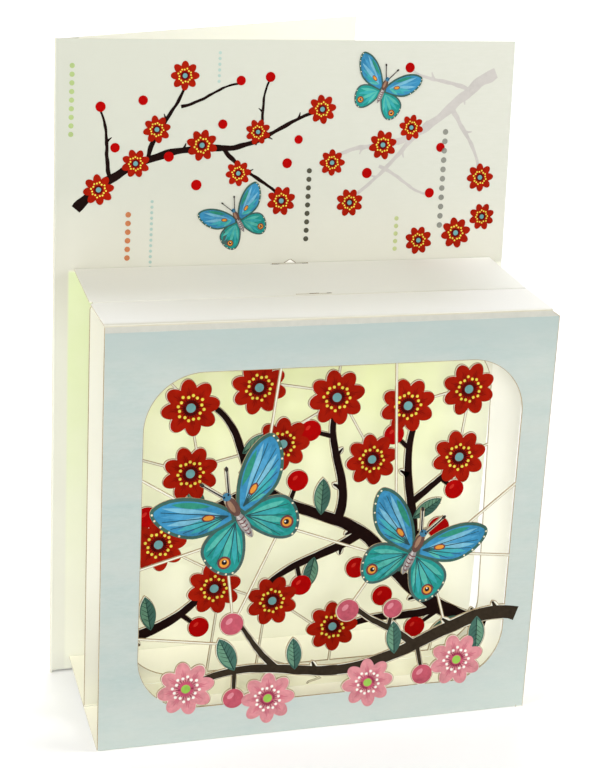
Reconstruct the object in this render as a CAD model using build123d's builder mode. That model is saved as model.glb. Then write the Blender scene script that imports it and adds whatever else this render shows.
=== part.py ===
from build123d import *
from math import sin, cos, atan2, radians, hypot
import os

# Stand-up greeting card with an open-sided two-stage box frame.
# +Z up, +X to the reader's right, the decorated side faces -Y, z = 0 is the
# table, and the origin is under the middle of the standing card.
# Three folded sheets of card:
#   cover_sheet      tall main panel and the cover leaf folded back behind it
#   rear_box_sheet   top strip, middle frame with cut-paper sprays, floor strip
#   front_box_sheet  top strip, front frame with cut-paper sprays, floor strip

# ---------------------------------------------------------------- dimensions
t = 0.4                     # card thickness
fold_r = 0.35               # centre-line radius of a pressed fold
panel_y = -15.68            # front surface of the main panel

panel_w = 150.5             # main panel width
panel_top = 209.0           # top edge of the main panel
panel_foot = 1.0            # its bottom edge hangs this far above the table
leaf_head = 208.8           # head of the cover leaf at the fold; it stands on z = 0
leaf_tip = 206.45           # its head at the free edge, cut a little aslant
leaf_angle = 34.3           # opening between the main panel and the leaf
lean_left = 0.5             # how far the panel's top edge leans back, left end
lean_right = 3.8            # the same at the right end

z_rear = 138.4              # top strip at the main panel
z_mid = 136.4               # top strip at the middle frame
z_front = 135.9             # top strip at the front frame
f_rear = 5.7                # floor strip at the main panel
f_mid = 3.6                 # floor strip at the middle frame
d_mid = 32.1                # main panel to the middle frame's front surface
d_front = 54.7              # main panel to the front frame's front surface

x_rear = (-68.9, 70.5)      # strip ends at the main panel
x_mid = (-70.1, 69.9)       # strip ends at the middle frame
x_front = (-70.3, 69.0)     # strip ends at the front frame
mid_right = 72.05           # right edge of the middle frame
front_right = 71.5          # right edge of the front frame
nip = 1.8                   # corner nip beside the top folds
left_nip = 0.9              # the same at the left end of the middle fold

win_l, win_r = -58.2, 61.7  # window opening of both frames
mid_slant = (60.38, 63.05)  # right side of the middle window, at its top and its sill
win_b, win_t = 11.9, 120.6
win_rad = 18.0              # window corner radius

tab_x = (-62.0, 61.5)       # glue tabs stop short of the strip ends
rim = 0.45                  # bare card left around each printed shape
stalk_w = 1.8               # stalks of berries, cut width
bridge_w = 0.8              # thin strips that hold the sprays

slit = 0.5                  # width of the rear lock slit
slit_thin = 0.24            # width of the middle one, nearly closed
slit_w = 11.4               # length of both

# ------------------------------------------------------- cut-paper sprays
# Places are (x, z) on the face of a frame, in millimetres. A leaf, thorn or
# berry is given by the stem that it grows from: stem number, place along it,
# side, reach, lean towards the tip in degrees, and its half width or radius.
rear_stems = [
    # start, control, control, end, half width start, half width end
    ((66.0, 20.0), (50.0, 24.0), (36.0, 36.0), (26.0, 50.0), 2.5, 1.9),
    ((26.0, 50.0), (16.0, 64.0), (0.0, 62.0), (-14.0, 74.0), 1.9, 1.3),
    ((-14.0, 74.0), (-24.0, 83.0), (-20.0, 92.0), (-30.0, 101.0), 1.3, 0.7),
    ((33.0, 41.5), (44.0, 56.0), (30.0, 70.0), (35.0, 92.0), 1.7, 0.8),
    ((36.5, 66.0), (44.0, 72.0), (46.0, 74.0), (50.0, 77.0), 1.0, 0.6),
    ((11.0, 61.5), (16.0, 74.0), (6.0, 84.0), (8.0, 98.0), 1.4, 0.7),
    ((-14.0, 74.0), (-28.0, 72.0), (-36.0, 62.0), (-50.0, 61.0), 1.3, 0.7),
    ((20.0, 57.0), (8.0, 48.0), (-4.0, 50.0), (-14.0, 38.0), 1.4, 0.7),
    ((-61.0, 24.0), (-52.0, 28.0), (-44.0, 28.0), (-34.0, 38.0), 1.9, 0.9),
    ((47.0, 27.0), (36.0, 24.0), (28.0, 28.0), (18.0, 24.0), 1.3, 0.8),
]
rear_daisies = [
    # x, z, radius, turn
    (-38.5, 102.0, 9.0, 8), (-17.0, 107.5, 8.6, 30), (-38.0, 80.5, 8.7, 20),
    (8.5, 103.0, 9.0, 12), (-8.5, 88.5, 8.6, 0), (32.5, 99.0, 8.9, 18),
    (51.5, 80.5, 8.9, 15), (21.5, 81.5, 8.5, 10),
    (-47.5, 57.5, 8.8, 6), (-29.0, 41.0, 8.6, 14), (53.0, 103.5, 8.7, 25),
    (11.5, 24.0, 8.5, 4), (-9.5, 35.0, 8.3, 24),
]
rear_leaves = [
    # stem, place along it, side, reach, lean in degrees, half width
    (1, 0.55, -1, 12.5, 20, 2.5), (0, 0.80, -1, 13.0, -10, 2.6),
    (0, 0.22, 1, 12.5, 30, 2.4), (8, 0.45, 1, 12.0, 10, 2.3),
    (3, 0.42, -1, 11.5, 25, 2.2), (2, 0.45, -1, 10.5, 15, 2.1),
    (6, 0.55, -1, 11.5, -5, 2.3), (7, 0.45, 1, 11.0, 30, 2.2),
]
rear_thorns = [
    (5, 0.30, 1, 3.6, 35, 0.9), (0, 0.55, 1, 4.6, 30, 1.1), (1, 0.25, 1, 4.0, 30, 1.0),
    (6, 0.35, 1, 3.4, 30, 0.8), (0, 0.10, -1, 4.8, 30, 1.1), (3, 0.72, 1, 3.4, 40, 0.8),
    (7, 0.20, 1, 3.4, 30, 0.8), (2, 0.20, 1, 3.4, 35, 0.8), (5, 0.62, -1, 3.2, 35, 0.7),
    (8, 0.20, -1, 4.0, 30, 0.9), (1, 0.85, 1, 3.6, 35, 0.8), (9, 0.45, 1, 3.4, 25, 0.8),
]
rear_berries = [
    # stem, place along it, side, reach, lean, radius
    (3, 0.30, -1, 9.0, 10, 3.4), (1, 0.80, -1, 8.0, 10, 3.2), (1, 0.72, 1, 8.5, 20, 3.2),
    (0, 0.98, 1, 9.5, 5, 3.3), (0, 0.36, 1, 11.0, 25, 3.3), (5, 0.80, 1, 8.0, 25, 3.2),
    (6, 0.86, -1, 8.5, 40, 3.2), (7, 0.62, 1, 7.5, 10, 3.2), (3, 0.88, 1, 7.5, 40, 3.1),
    (9, 0.55, -1, 8.0, 20, 3.2), (8, 0.80, -1, 8.0, 15, 3.1), (4, 0.60, -1, 6.5, 10, 3.0),
]
rear_bridges = [
    ((-41.3, 106.3), (-53.0, 118.8)), ((-17.0, 114.5), (-18.0, 122.5)),
    ((9.0, 110.5), (10.0, 122.5)), ((59.0, 106.5), (63.5, 109.5)),
    ((58.5, 83.0), (63.5, 85.0)), ((-45.0, 83.0), (-60.0, 88.0)),
    ((-54.5, 57.0), (-60.0, 57.0)), ((-10.0, 108.0), (1.0, 106.0)),
    ((-31.0, 83.5), (-15.5, 87.0)), ((26.5, 87.5), (29.5, 92.0)),
    ((40.0, 101.0), (46.0, 102.5)), ((-27.6, 34.6), (-30.5, 10.0)),
    ((-23.0, 40.0), (-16.0, 37.0)), ((11.5, 17.0), (11.0, 10.0)),
    ((13.5, 97.0), (18.5, 88.5)), ((-44.0, 64.0), (-40.0, 73.5)),
    ((-3.5, 94.5), (3.7, 98.5)), ((52.0, 88.0), (53.0, 97.0)),
    ((4.7, 25.3), (-3.5, 31.5)), ((-12.0, 28.5), (-14.0, 10.0)),
    ((48.0, 20.0), (46.0, 10.0)), ((-31.5, 48.0), (-41.8, 54.0)),
    ((48.4, 54.6), (63.5, 52.0)), ((-36.0, 87.5), (-37.5, 95.0)),
]
front_stems = [
    ((66.0, 34.0), (48.0, 40.0), (30.0, 20.0), (6.0, 20.0), 2.3, 1.6),
    ((6.0, 20.0), (-10.0, 20.0), (-24.0, 28.0), (-42.0, 19.0), 1.6, 0.9),
    ((32.0, 25.5), (24.0, 34.0), (18.0, 34.0), (12.0, 40.0), 1.1, 0.6),
    ((-14.0, 22.5), (-20.0, 28.0), (-22.0, 32.0), (-26.0, 38.0), 1.0, 0.5),
]
front_daisies = [
    (-43.0, 18.5, 8.9, 10), (-16.5, 12.5, 8.6, 0), (46.5, 19.5, 8.9, 16),
    (16.5, 14.5, 8.4, 5),
]
front_leaves = [
    (1, 0.72, -1, 12.5, 20, 2.7), (0, 0.25, 1, 12.0, 10, 2.6),
    (0, 0.72, -1, 11.5, -15, 2.4), (1, 0.30, -1, 11.0, 15, 2.3),
]
front_berries = [
    (2, 0.96, 1, 4.5, 60, 3.5), (3, 0.96, 1, 4.0, 60, 3.5),
    (0, 0.60, 1, 11.5, 10, 3.3), (1, 0.72, 1, 9.5, 5, 3.2),
    (2, 0.45, -1, 6.5, 20, 3.0),
]
front_thorns = [
    (0, 0.40, -1, 4.6, 30, 1.0), (1, 0.15, -1, 3.6, 30, 0.8), (0, 0.12, -1, 4.4, 30, 1.0),
]
front_moths = [(-28.5, 75.0, 1.22, 32.0), (29.0, 58.5, 1.12, -24.0)]
front_bridges = [
    ((-46.5, 80.5), (-60.0, 89.0)), ((-31.0, 57.5), (-29.0, 41.5)),
    ((-20.0, 96.0), (-17.0, 122.5)), ((-38.6, 65.0), (-60.0, 59.0)),
    ((-16.0, 71.0), (14.6, 59.4)), ((46.0, 56.5), (63.5, 54.5)),
    ((38.0, 44.0), (41.5, 32.5)), ((22.0, 76.5), (19.0, 122.5)),
    ((46.0, 66.0), (63.5, 80.5)), ((8.8, 41.5), (15.8, 52.0)),
    ((-27.5, 41.5), (-15.5, 68.5)), ((-32.4, 32.6), (-60.0, 37.0)),
]


# ------------------------------------------------------------ outline helpers
def bezier_point(p, s):
    """Point and unit normal of a cubic curve at s."""
    a, b, c, d = p
    q = 1 - s
    x = q**3 * a[0] + 3 * q * q * s * b[0] + 3 * q * s * s * c[0] + s**3 * d[0]
    z = q**3 * a[1] + 3 * q * q * s * b[1] + 3 * q * s * s * c[1] + s**3 * d[1]
    dx = q * q * (b[0] - a[0]) + 2 * q * s * (c[0] - b[0]) + s * s * (d[0] - c[0])
    dz = q * q * (b[1] - a[1]) + 2 * q * s * (c[1] - b[1]) + s * s * (d[1] - c[1])
    n = hypot(dx, dz)
    return (x, z), (-dz / n, dx / n)


def off_stem(stems, number, s, side, reach, lean):
    """Foot on a stem's middle line, and a point off to one side of it."""
    (x, z), (nx, nz) = bezier_point(stems[number][:4], s)
    c, q = cos(radians(lean)), sin(radians(lean))
    dx, dz = side * nx * c + nz * q, side * nz * c - nx * q
    return (x, z), (x + dx * reach, z + dz * reach)


def stem_sides(stem, n=7):
    """The two edges of a tapering stem, as lists of points."""
    left, right = [], []
    for i in range(n + 1):
        s = i / n
        (x, z), (nx, nz) = bezier_point(stem[:4], s)
        h = stem[4] + (stem[5] - stem[4]) * s + rim
        left.append((x + nx * h, z + nz * h))
        right.append((x - nx * h, z - nz * h))
    return left, right


def moth_wings(cx, cz, size, turn):
    """Closed outlines of the four wings, each a ring of cubic curves."""
    fore = [
        ((0.5, 1.6), (3.5, 9.0), (11.0, 15.5), (17.0, 14.2)),
        ((17.0, 14.2), (20.2, 13.0), (17.6, 4.6), (12.6, 1.4)),
        ((12.6, 1.4), (9.0, -0.8), (3.5, -0.8), (0.5, -0.9)),
    ]
    hind = [
        ((0.5, 0.2), (5.0, 0.6), (12.0, 0.4), (13.2, -4.0)),
        ((13.2, -4.0), (14.2, -8.6), (11.2, -13.6), (8.0, -13.0)),
        ((8.0, -13.0), (4.2, -12.2), (1.6, -7.0), (0.5, -3.6)),
    ]
    ca, sa = cos(radians(turn)), sin(radians(turn))
    rings = []
    for side in (1, -1):
        for wing in (fore, hind):
            rings.append([
                [
                    (
                        cx + size * (side * x * ca - z * sa),
                        cz + size * (side * x * sa + z * ca),
                    )
                    for x, z in seg
                ]
                for seg in wing
            ])
    return rings


def moth_feelers(cx, cz, size, turn):
    """The two feelers, as short bars from the head."""
    ca, sa = cos(radians(turn)), sin(radians(turn))
    bars = []
    for side in (1, -1):
        ends = [(side * 0.4, 5.5), (side * 3.6, 12.5)]
        bars.append([
            (cx + size * (x * ca - z * sa), cz + size * (x * sa + z * ca))
            for x, z in ends
        ])
    return bars


def spray_outline(stems, daisies, leaves, thorns, berries, bridges, moths=()):
    """One cut-paper spray as a sketch, cut off just behind the window's edge."""
    shapes = []
    for stem in stems:
        left, right = stem_sides(stem)
        with BuildSketch() as blade:
            with BuildLine():
                Spline(*left)
                Line(left[-1], right[-1])
                Spline(*reversed(right))
                Line(right[0], left[0])
            make_face()
            with Locations(stem[3]):
                Circle(stem[5] + rim)
        shapes += blade.faces()
    feelers = [bar for moth in moths for bar in moth_feelers(*moth)]
    stalks = [off_stem(stems, *berry[:5]) for berry in berries]
    for bars, width in ((stalks, stalk_w), (feelers, 1.3), (bridges, bridge_w)):
        for a, b in bars:
            with BuildSketch() as strip:
                with BuildLine():
                    Line(a, b)
                trace(line_width=width)
            shapes += strip.faces()
    for entry in leaves + thorns:
        foot, tip = off_stem(stems, *entry[:5])
        half = entry[5] + rim
        dx, dz = tip[0] - foot[0], tip[1] - foot[1]
        n = hypot(dx, dz)
        tip = (tip[0] + dx / n * rim, tip[1] + dz / n * rim)
        nx, nz = -dz / n * half, dx / n * half
        mx, mz = (foot[0] + tip[0]) / 2, (foot[1] + tip[1]) / 2
        with BuildSketch() as leaf:
            with BuildLine():
                ThreePointArc(foot, (mx + nx, mz + nz), tip)
                ThreePointArc(tip, (mx - nx, mz - nz), foot)
            make_face()
        shapes += leaf.faces()
    for x, z, size, turn in moths:
        with BuildSketch() as moth:
            for ring in moth_wings(x, z, size, turn):
                with BuildLine():
                    for seg in ring:
                        Bezier(*seg)
                    Line(ring[-1][-1], ring[0][0])
                make_face()
            with Locations(Location((x, z, 0), (0, 0, turn))):
                Ellipse(1.7 * size, 7.2 * size)
        shapes += moth.faces()
    for entry in berries:
        with BuildSketch() as berry:
            with Locations(off_stem(stems, *entry[:5])[1]):
                Circle(entry[5] + rim)
        shapes += berry.faces()
    for x, z, size, turn in daisies:
        with BuildSketch() as daisy:
            with Locations((x, z)):
                Circle(0.42 * size)
                with PolarLocations(0.60 * size, 8, start_angle=turn):
                    Ellipse(0.40 * size + rim, 0.262 * size + rim)
        shapes += daisy.faces()
    with BuildSketch() as spray:
        add(shapes)
        with Locations(((win_l + win_r) / 2 + 0.6, (win_b + win_t) / 2)):
            RectangleRounded(win_r - win_l + 3.2, win_t - win_b + 2, win_rad + 1,
                             mode=Mode.INTERSECT)
    return spray.sketch


rear_spray = spray_outline(rear_stems, rear_daisies, rear_leaves, rear_thorns,
                           rear_berries, rear_bridges)
front_spray = spray_outline(front_stems, front_daisies, front_leaves, front_thorns,
                            front_berries, front_bridges, front_moths)


# --------------------------------------------------------------- cover sheet
def cover_section(shift, lean, taper):
    """Points of the folded cover's section: panel, rounded fold, leaf."""
    beta = atan2(lean, panel_w)
    r = fold_r + 0.1
    cx, cy = -panel_w / 2 + r + t / 2, panel_y + shift + r + t / 2
    a = radians(leaf_angle)
    reach = panel_w - 0.65
    first, last = radians(270) + beta, radians(90 + leaf_angle)
    steps = 8
    turns = [first + (last - first) * i / steps for i in range(steps + 1)]
    outer = [(cx + (r + t / 2) * cos(u), cy + (r + t / 2) * sin(u)) for u in turns]
    inner = [(cx + (r - t / 2) * cos(u), cy + (r - t / 2) * sin(u)) for u in turns]
    px, py = (reach - taper) * cos(beta), (reach - taper) * sin(beta)
    qx, qy = reach * cos(a), reach * sin(a)
    return (
        [(outer[0][0] + px, outer[0][1] + py)] + outer
        + [(outer[-1][0] + qx, outer[-1][1] + qy), (inner[-1][0] + qx, inner[-1][1] + qy)]
        + inner[::-1] + [(inner[0][0] + px, inner[0][1] + py)]
    )


with BuildPart() as cover_sheet:
    for height, shift, lean, taper in (
        (0.0, 0.0, 0.0, 1.25),
        (72.0, 0.0, 0.0, 0.0),
        (z_rear, 0.0, 0.0, 0.0),
        (panel_top, lean_left, lean_right - lean_left, 0.0),
    ):
        with BuildSketch(Plane.XY.offset(height)):
            with BuildLine():
                Polyline(*cover_section(shift, lean, taper), close=True)
            make_face()
    loft(ruled=True)
    # the panel's foot is cut a little higher than the leaf's
    with BuildSketch(Plane.XY.offset(-1)):
        with BuildLine():
            Polyline(
                (-panel_w / 2 + 0.7, panel_y - 1), (panel_w / 2 + 1, panel_y - 1),
                (panel_w / 2 + 1, panel_y + t + 0.02),
                (-panel_w / 2 + 0.7, panel_y + t + 0.02),
                close=True,
            )
        make_face()
    extrude(amount=panel_foot + 1, mode=Mode.SUBTRACT)
    # the leaf's head is cut a little lower than the panel's, and aslant
    fall = (leaf_head - leaf_tip) / 124.0
    head_plane = Plane(origin=(0, 0, leaf_head - fall * panel_w / 2),
                       x_dir=(1, 0, -fall), z_dir=(fall, 0, 1))
    with BuildSketch(head_plane):
        with BuildLine():
            Polyline(
                (-panel_w / 2 + 1.6, panel_y + lean_left + 1.0),
                (panel_w / 2 + 5, panel_y + 40),
                (panel_w / 2 + 5, panel_y + 120),
                (-panel_w / 2 - 5, panel_y + 120),
                (-panel_w / 2 - 5, panel_y + lean_left + 1.0),
                close=True,
            )
        make_face()
    extrude(amount=panel_top - leaf_tip + 3, mode=Mode.SUBTRACT)

cover_sheet.part.label = "cover_sheet"


# ------------------------------------------------------- box sheet helpers
def sheet_section(x_from, x_to, points):
    """One folded sheet: its centre line in the YZ plane, run along X."""
    with BuildSketch(Plane.YZ.offset(x_from)) as section:
        with BuildLine():
            FilletPolyline(*[(y + panel_y, z) for y, z in points], radius=fold_r)
        trace(line_width=t)
    extrude(section.sketch, amount=x_to - x_from)


def trim_prism(points, z_from, z_to):
    """Cuts away a column with the given plan."""
    with BuildSketch(Plane.XY.offset(z_from)) as plan:
        with BuildLine():
            Polyline(*[(x, y + panel_y) for x, y in points], close=True)
        make_face()
    extrude(plan.sketch, amount=z_to - z_from, mode=Mode.SUBTRACT)


def face_plane(depth):
    """Plane this far in front of the main panel: local x is X, local y is Z."""
    return Plane.XZ.offset(depth - panel_y)


def nip_left_end():
    """Cuts the corner off the left end of the middle fold."""
    with BuildSketch(face_plane(d_mid + 1.0)) as corner:
        with BuildLine():
            Polyline((x_mid[0] - 1, z_mid + 1), (x_mid[0] + left_nip, z_mid + 1),
                     (x_mid[0] + left_nip, z_mid - 0.2), (x_mid[0] - 0.02, z_mid - 2.1),
                     (x_mid[0] - 1, z_mid - 2.1), close=True)
        make_face()
    extrude(corner.sketch, amount=-2.0, mode=Mode.SUBTRACT)


# ------------------------------------------------------------ rear box sheet
with BuildPart() as rear_box_sheet:
    sheet_section(
        -71.0,
        71.0,
        [
            (-t / 2, z_rear - 9.0),
            (-t / 2, z_rear - t / 2),
            (-d_mid + t / 2, z_mid - t / 2),
            (-d_mid + t / 2, f_mid - t / 2),
            (-t / 2, f_rear - t / 2),
            (-t / 2, panel_foot + 0.4),
        ],
    )
    # ends of the strips, a little out of square as on the object
    trim_prism([(-72, 1), (x_rear[0], 1), (x_rear[0], 0), (x_mid[0], -d_mid),
                (x_mid[0], -d_mid - 1), (-72, -d_mid - 1)], -1, 140)
    trim_prism([(72, 1), (x_rear[1], 1), (x_rear[1], 0), (x_mid[1], -d_mid),
                (x_mid[1], -d_mid - 1), (72, -d_mid - 1)], -1, 140)
    # glue tabs are shorter than the folds they hang from
    for zone in ((z_rear - 12, z_rear - 1.0), (0, f_rear - 1.2)):
        trim_prism([(-72, 1), (tab_x[0], 1), (tab_x[0], -0.7), (-72, -0.7)], *zone)
        trim_prism([(72, 1), (tab_x[1], 1), (tab_x[1], -0.7), (72, -0.7)], *zone)
    # right margin of the frame beyond the strips, nipped at its top corner
    with BuildSketch(face_plane(d_mid)):
        with BuildLine():
            Polyline(
                (x_mid[1] - 1, z_mid - 0.7), (x_mid[1], z_mid - 0.7),
                (mid_right, z_mid - nip), (mid_right, f_mid),
                (x_mid[1] - 1, f_mid),
                close=True,
            )
        make_face()
    extrude(amount=-t)
    nip_left_end()
    # window, its right side a little aslant
    with BuildSketch(face_plane(d_mid + 0.5)) as opening:
        with BuildLine():
            Polyline((win_l, win_b), (mid_slant[1], win_b), (mid_slant[0], win_t),
                     (win_l, win_t), close=True)
        make_face()
        fillet(opening.vertices(), radius=win_rad)
    extrude(amount=-(t + 1), mode=Mode.SUBTRACT)
    # cut-paper spray held in the window
    with BuildSketch(face_plane(d_mid)):
        add(rear_spray)
    extrude(amount=-t)
    # lock slits along the two top folds
    for x_c, y_c, gap in ((1.0, -1.1, slit), (-0.4, -d_mid + 1.2, slit_thin)):
        trim_prism([(x_c - slit_w / 2, y_c - gap / 2), (x_c + slit_w / 2, y_c - gap / 2),
                    (x_c + slit_w / 2, y_c + gap / 2), (x_c - slit_w / 2, y_c + gap / 2)],
                   z_mid - 3, z_rear + 1)
    # small tongue that stands up out of the rear slit
    with BuildSketch(face_plane(t)):
        with BuildLine():
            Polyline((-1.2, z_rear - 1.0), (3.4, z_rear - 1.0), (3.2, z_rear - 0.1),
                     (1.4, z_rear + 1.2), (0.9, z_rear + 1.2), (-1.0, z_rear - 0.1),
                     close=True)
        make_face()
    extrude(amount=-t)
    # arrow-shaped lock cut in the floor
    trim_prism([(-3.2, -15.3), (0.6, -18.8), (-3.0, -21.3), (-2.6, -23.3),
                (-2.1, -23.2), (-2.4, -21.4), (1.4, -18.7), (-2.9, -14.9)], 0, 9)

rear_box_sheet.part.label = "rear_box_sheet"

# ----------------------------------------------------------- front box sheet
with BuildPart() as front_box_sheet:
    sheet_section(
        -71.0,
        71.0,
        [
            (-d_mid - t / 2, z_mid - 9.0),
            (-d_mid - t / 2, z_mid - t / 2 - 0.05),
            (-d_front + t / 2, z_front - t / 2),
            (-d_front + t / 2, t / 2),
            (-d_mid - t / 2, f_mid - t / 2),
            (-d_mid - t / 2, f_mid + 6.0),
        ],
    )
    trim_prism([(-72, -d_mid + 1), (x_mid[0], -d_mid + 1), (x_mid[0], -d_mid),
                (x_front[0], -d_front), (x_front[0], -d_front - 1), (-72, -d_front - 1)],
               -1, 140)
    trim_prism([(72, -d_mid + 1), (x_mid[1], -d_mid + 1), (x_mid[1], -d_mid),
                (x_front[1], -d_front), (x_front[1], -d_front - 1), (72, -d_front - 1)],
               -1, 140)
    for zone in ((z_mid - 12, z_mid - 1.0), (f_mid + 0.6, f_mid + 8)):
        trim_prism([(-72, -d_mid + 1), (tab_x[0], -d_mid + 1),
                    (tab_x[0], -d_mid - 0.7), (-72, -d_mid - 0.7)], *zone)
        trim_prism([(72, -d_mid + 1), (tab_x[1], -d_mid + 1),
                    (tab_x[1], -d_mid - 0.7), (72, -d_mid - 0.7)], *zone)
    with BuildSketch(face_plane(d_front)):
        with BuildLine():
            Polyline(
                (x_front[1] - 1, z_front - 0.7), (x_front[1], z_front - 0.7),
                (front_right, z_front - 0.5 - nip), (front_right, 0.0),
                (x_front[1], 0.0), (x_front[1], 0.8), (x_front[1] - 1, 0.8),
                close=True,
            )
        make_face()
    extrude(amount=-t)
    nip_left_end()
    with BuildSketch(face_plane(d_front + 0.5)):
        with Locations(((win_l + win_r) / 2, (win_b + win_t) / 2)):
            RectangleRounded(win_r - win_l, win_t - win_b, win_rad)
    extrude(amount=-(t + 1), mode=Mode.SUBTRACT)
    with BuildSketch(face_plane(d_front)):
        add(front_spray)
    extrude(amount=-t)
    # arrow-shaped lock cut in the tab that stands on the middle frame's foot
    with BuildSketch(face_plane(d_mid + t + 0.1)) as arrow:
        with BuildLine():
            Polyline((3.9, 8.25), (7.6, 5.85), (4.2, 5.0), (3.75, 4.35), (4.1, 4.2),
                     (4.45, 4.65), (8.6, 5.7), (4.2, 8.55), close=True)
        make_face()
    extrude(arrow.sketch, amount=-(t + 0.1), mode=Mode.SUBTRACT)

front_box_sheet.part.label = "front_box_sheet"

# -------------------------------------------------------------------- export
os.makedirs("parts", exist_ok=True)
for name, sheet in (
    ("cover_sheet", cover_sheet),
    ("rear_box_sheet", rear_box_sheet),
    ("front_box_sheet", front_box_sheet),
):
    export_step(sheet.part, f"parts/{name}.step")
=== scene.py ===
from math import sin, cos, radians, hypot, pi, atan2

import bpy
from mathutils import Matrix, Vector
from mathutils.bvhtree import BVHTree


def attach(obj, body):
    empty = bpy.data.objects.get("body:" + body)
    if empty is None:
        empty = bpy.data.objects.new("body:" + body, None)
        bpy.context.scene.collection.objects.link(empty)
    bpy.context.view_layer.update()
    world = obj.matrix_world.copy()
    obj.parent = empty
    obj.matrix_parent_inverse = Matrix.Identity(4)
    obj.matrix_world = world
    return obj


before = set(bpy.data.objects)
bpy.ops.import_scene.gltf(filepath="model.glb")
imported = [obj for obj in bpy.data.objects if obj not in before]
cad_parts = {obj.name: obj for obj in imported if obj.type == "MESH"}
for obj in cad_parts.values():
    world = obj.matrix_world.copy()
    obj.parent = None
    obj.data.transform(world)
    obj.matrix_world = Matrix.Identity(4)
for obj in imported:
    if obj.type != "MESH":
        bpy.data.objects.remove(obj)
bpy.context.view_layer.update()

# Stand-up greeting card: three folded sheets of card, printed and laser cut.
# Places on the sheets are (x, z) in millimetres, as the sheets were cut.
front_y = -70.38            # printed face of the front frame
mid_y = -47.78              # printed face of the middle frame
panel_y = -15.68            # printed face of the main panel
top_z = (138.4, 136.4, 135.9)   # top strip at the main panel, middle and front folds
floor_z = (5.7, 3.6, 0.4)       # floor strip at the same places
depths = (0.0, 32.1, 54.7)      # how far these lie in front of the main panel
win = (-58.2, 61.7, 11.9, 120.6, 18.0)   # window: left, right, bottom, top, corner
film = 0.012                # one film of ink over another, in millimetres


# ---------------------------------------------------------------- cut-paper sprays
rear_stems = [
    ((66.0, 20.0), (50.0, 24.0), (36.0, 36.0), (26.0, 50.0), 2.5, 1.9),
    ((26.0, 50.0), (16.0, 64.0), (0.0, 62.0), (-14.0, 74.0), 1.9, 1.3),
    ((-14.0, 74.0), (-24.0, 83.0), (-20.0, 92.0), (-30.0, 101.0), 1.3, 0.7),
    ((33.0, 41.5), (44.0, 56.0), (30.0, 70.0), (35.0, 92.0), 1.7, 0.8),
    ((36.5, 66.0), (44.0, 72.0), (46.0, 74.0), (50.0, 77.0), 1.0, 0.6),
    ((11.0, 61.5), (16.0, 74.0), (6.0, 84.0), (8.0, 98.0), 1.4, 0.7),
    ((-14.0, 74.0), (-28.0, 72.0), (-36.0, 62.0), (-50.0, 61.0), 1.3, 0.7),
    ((20.0, 57.0), (8.0, 48.0), (-4.0, 50.0), (-14.0, 38.0), 1.4, 0.7),
    ((-61.0, 24.0), (-52.0, 28.0), (-44.0, 28.0), (-34.0, 38.0), 1.9, 0.9),
    ((47.0, 27.0), (36.0, 24.0), (28.0, 28.0), (18.0, 24.0), 1.3, 0.8),
]
rear_daisies = [
    (-38.5, 102.0, 9.0, 8), (-17.0, 107.5, 8.6, 30), (-38.0, 80.5, 8.7, 20),
    (8.5, 103.0, 9.0, 12), (-8.5, 88.5, 8.6, 0), (32.5, 99.0, 8.9, 18),
    (51.5, 80.5, 8.9, 15), (21.5, 81.5, 8.5, 10),
    (-47.5, 57.5, 8.8, 6), (-29.0, 41.0, 8.6, 14), (53.0, 103.5, 8.7, 25),
    (11.5, 24.0, 8.5, 4), (-9.5, 35.0, 8.3, 24),
]
rear_leaves = [
    (1, 0.55, -1, 12.5, 20, 2.5), (0, 0.80, -1, 13.0, -10, 2.6),
    (0, 0.22, 1, 12.5, 30, 2.4), (8, 0.45, 1, 12.0, 10, 2.3),
    (3, 0.42, -1, 11.5, 25, 2.2), (2, 0.45, -1, 10.5, 15, 2.1),
    (6, 0.55, -1, 11.5, -5, 2.3), (7, 0.45, 1, 11.0, 30, 2.2),
]
rear_thorns = [
    (5, 0.30, 1, 3.6, 35, 0.9), (0, 0.55, 1, 4.6, 30, 1.1), (1, 0.25, 1, 4.0, 30, 1.0),
    (6, 0.35, 1, 3.4, 30, 0.8), (0, 0.10, -1, 4.8, 30, 1.1), (3, 0.72, 1, 3.4, 40, 0.8),
    (7, 0.20, 1, 3.4, 30, 0.8), (2, 0.20, 1, 3.4, 35, 0.8), (5, 0.62, -1, 3.2, 35, 0.7),
    (8, 0.20, -1, 4.0, 30, 0.9), (1, 0.85, 1, 3.6, 35, 0.8), (9, 0.45, 1, 3.4, 25, 0.8),
]
rear_berries = [
    (3, 0.30, -1, 9.0, 10, 3.4), (1, 0.80, -1, 8.0, 10, 3.2), (1, 0.72, 1, 8.5, 20, 3.2),
    (0, 0.98, 1, 9.5, 5, 3.3), (0, 0.36, 1, 11.0, 25, 3.3), (5, 0.80, 1, 8.0, 25, 3.2),
    (6, 0.86, -1, 8.5, 40, 3.2), (7, 0.62, 1, 7.5, 10, 3.2), (3, 0.88, 1, 7.5, 40, 3.1),
    (9, 0.55, -1, 8.0, 20, 3.2), (8, 0.80, -1, 8.0, 15, 3.1), (4, 0.60, -1, 6.5, 10, 3.0),
]
front_stems = [
    ((66.0, 34.0), (48.0, 40.0), (30.0, 20.0), (6.0, 20.0), 2.3, 1.6),
    ((6.0, 20.0), (-10.0, 20.0), (-24.0, 28.0), (-42.0, 19.0), 1.6, 0.9),
    ((32.0, 25.5), (24.0, 34.0), (18.0, 34.0), (12.0, 40.0), 1.1, 0.6),
    ((-14.0, 22.5), (-20.0, 28.0), (-22.0, 32.0), (-26.0, 38.0), 1.0, 0.5),
]
front_daisies = [
    (-43.0, 18.5, 8.9, 10), (-16.5, 12.5, 8.6, 0), (46.5, 19.5, 8.9, 16),
    (16.5, 14.5, 8.4, 5),
]
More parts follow.
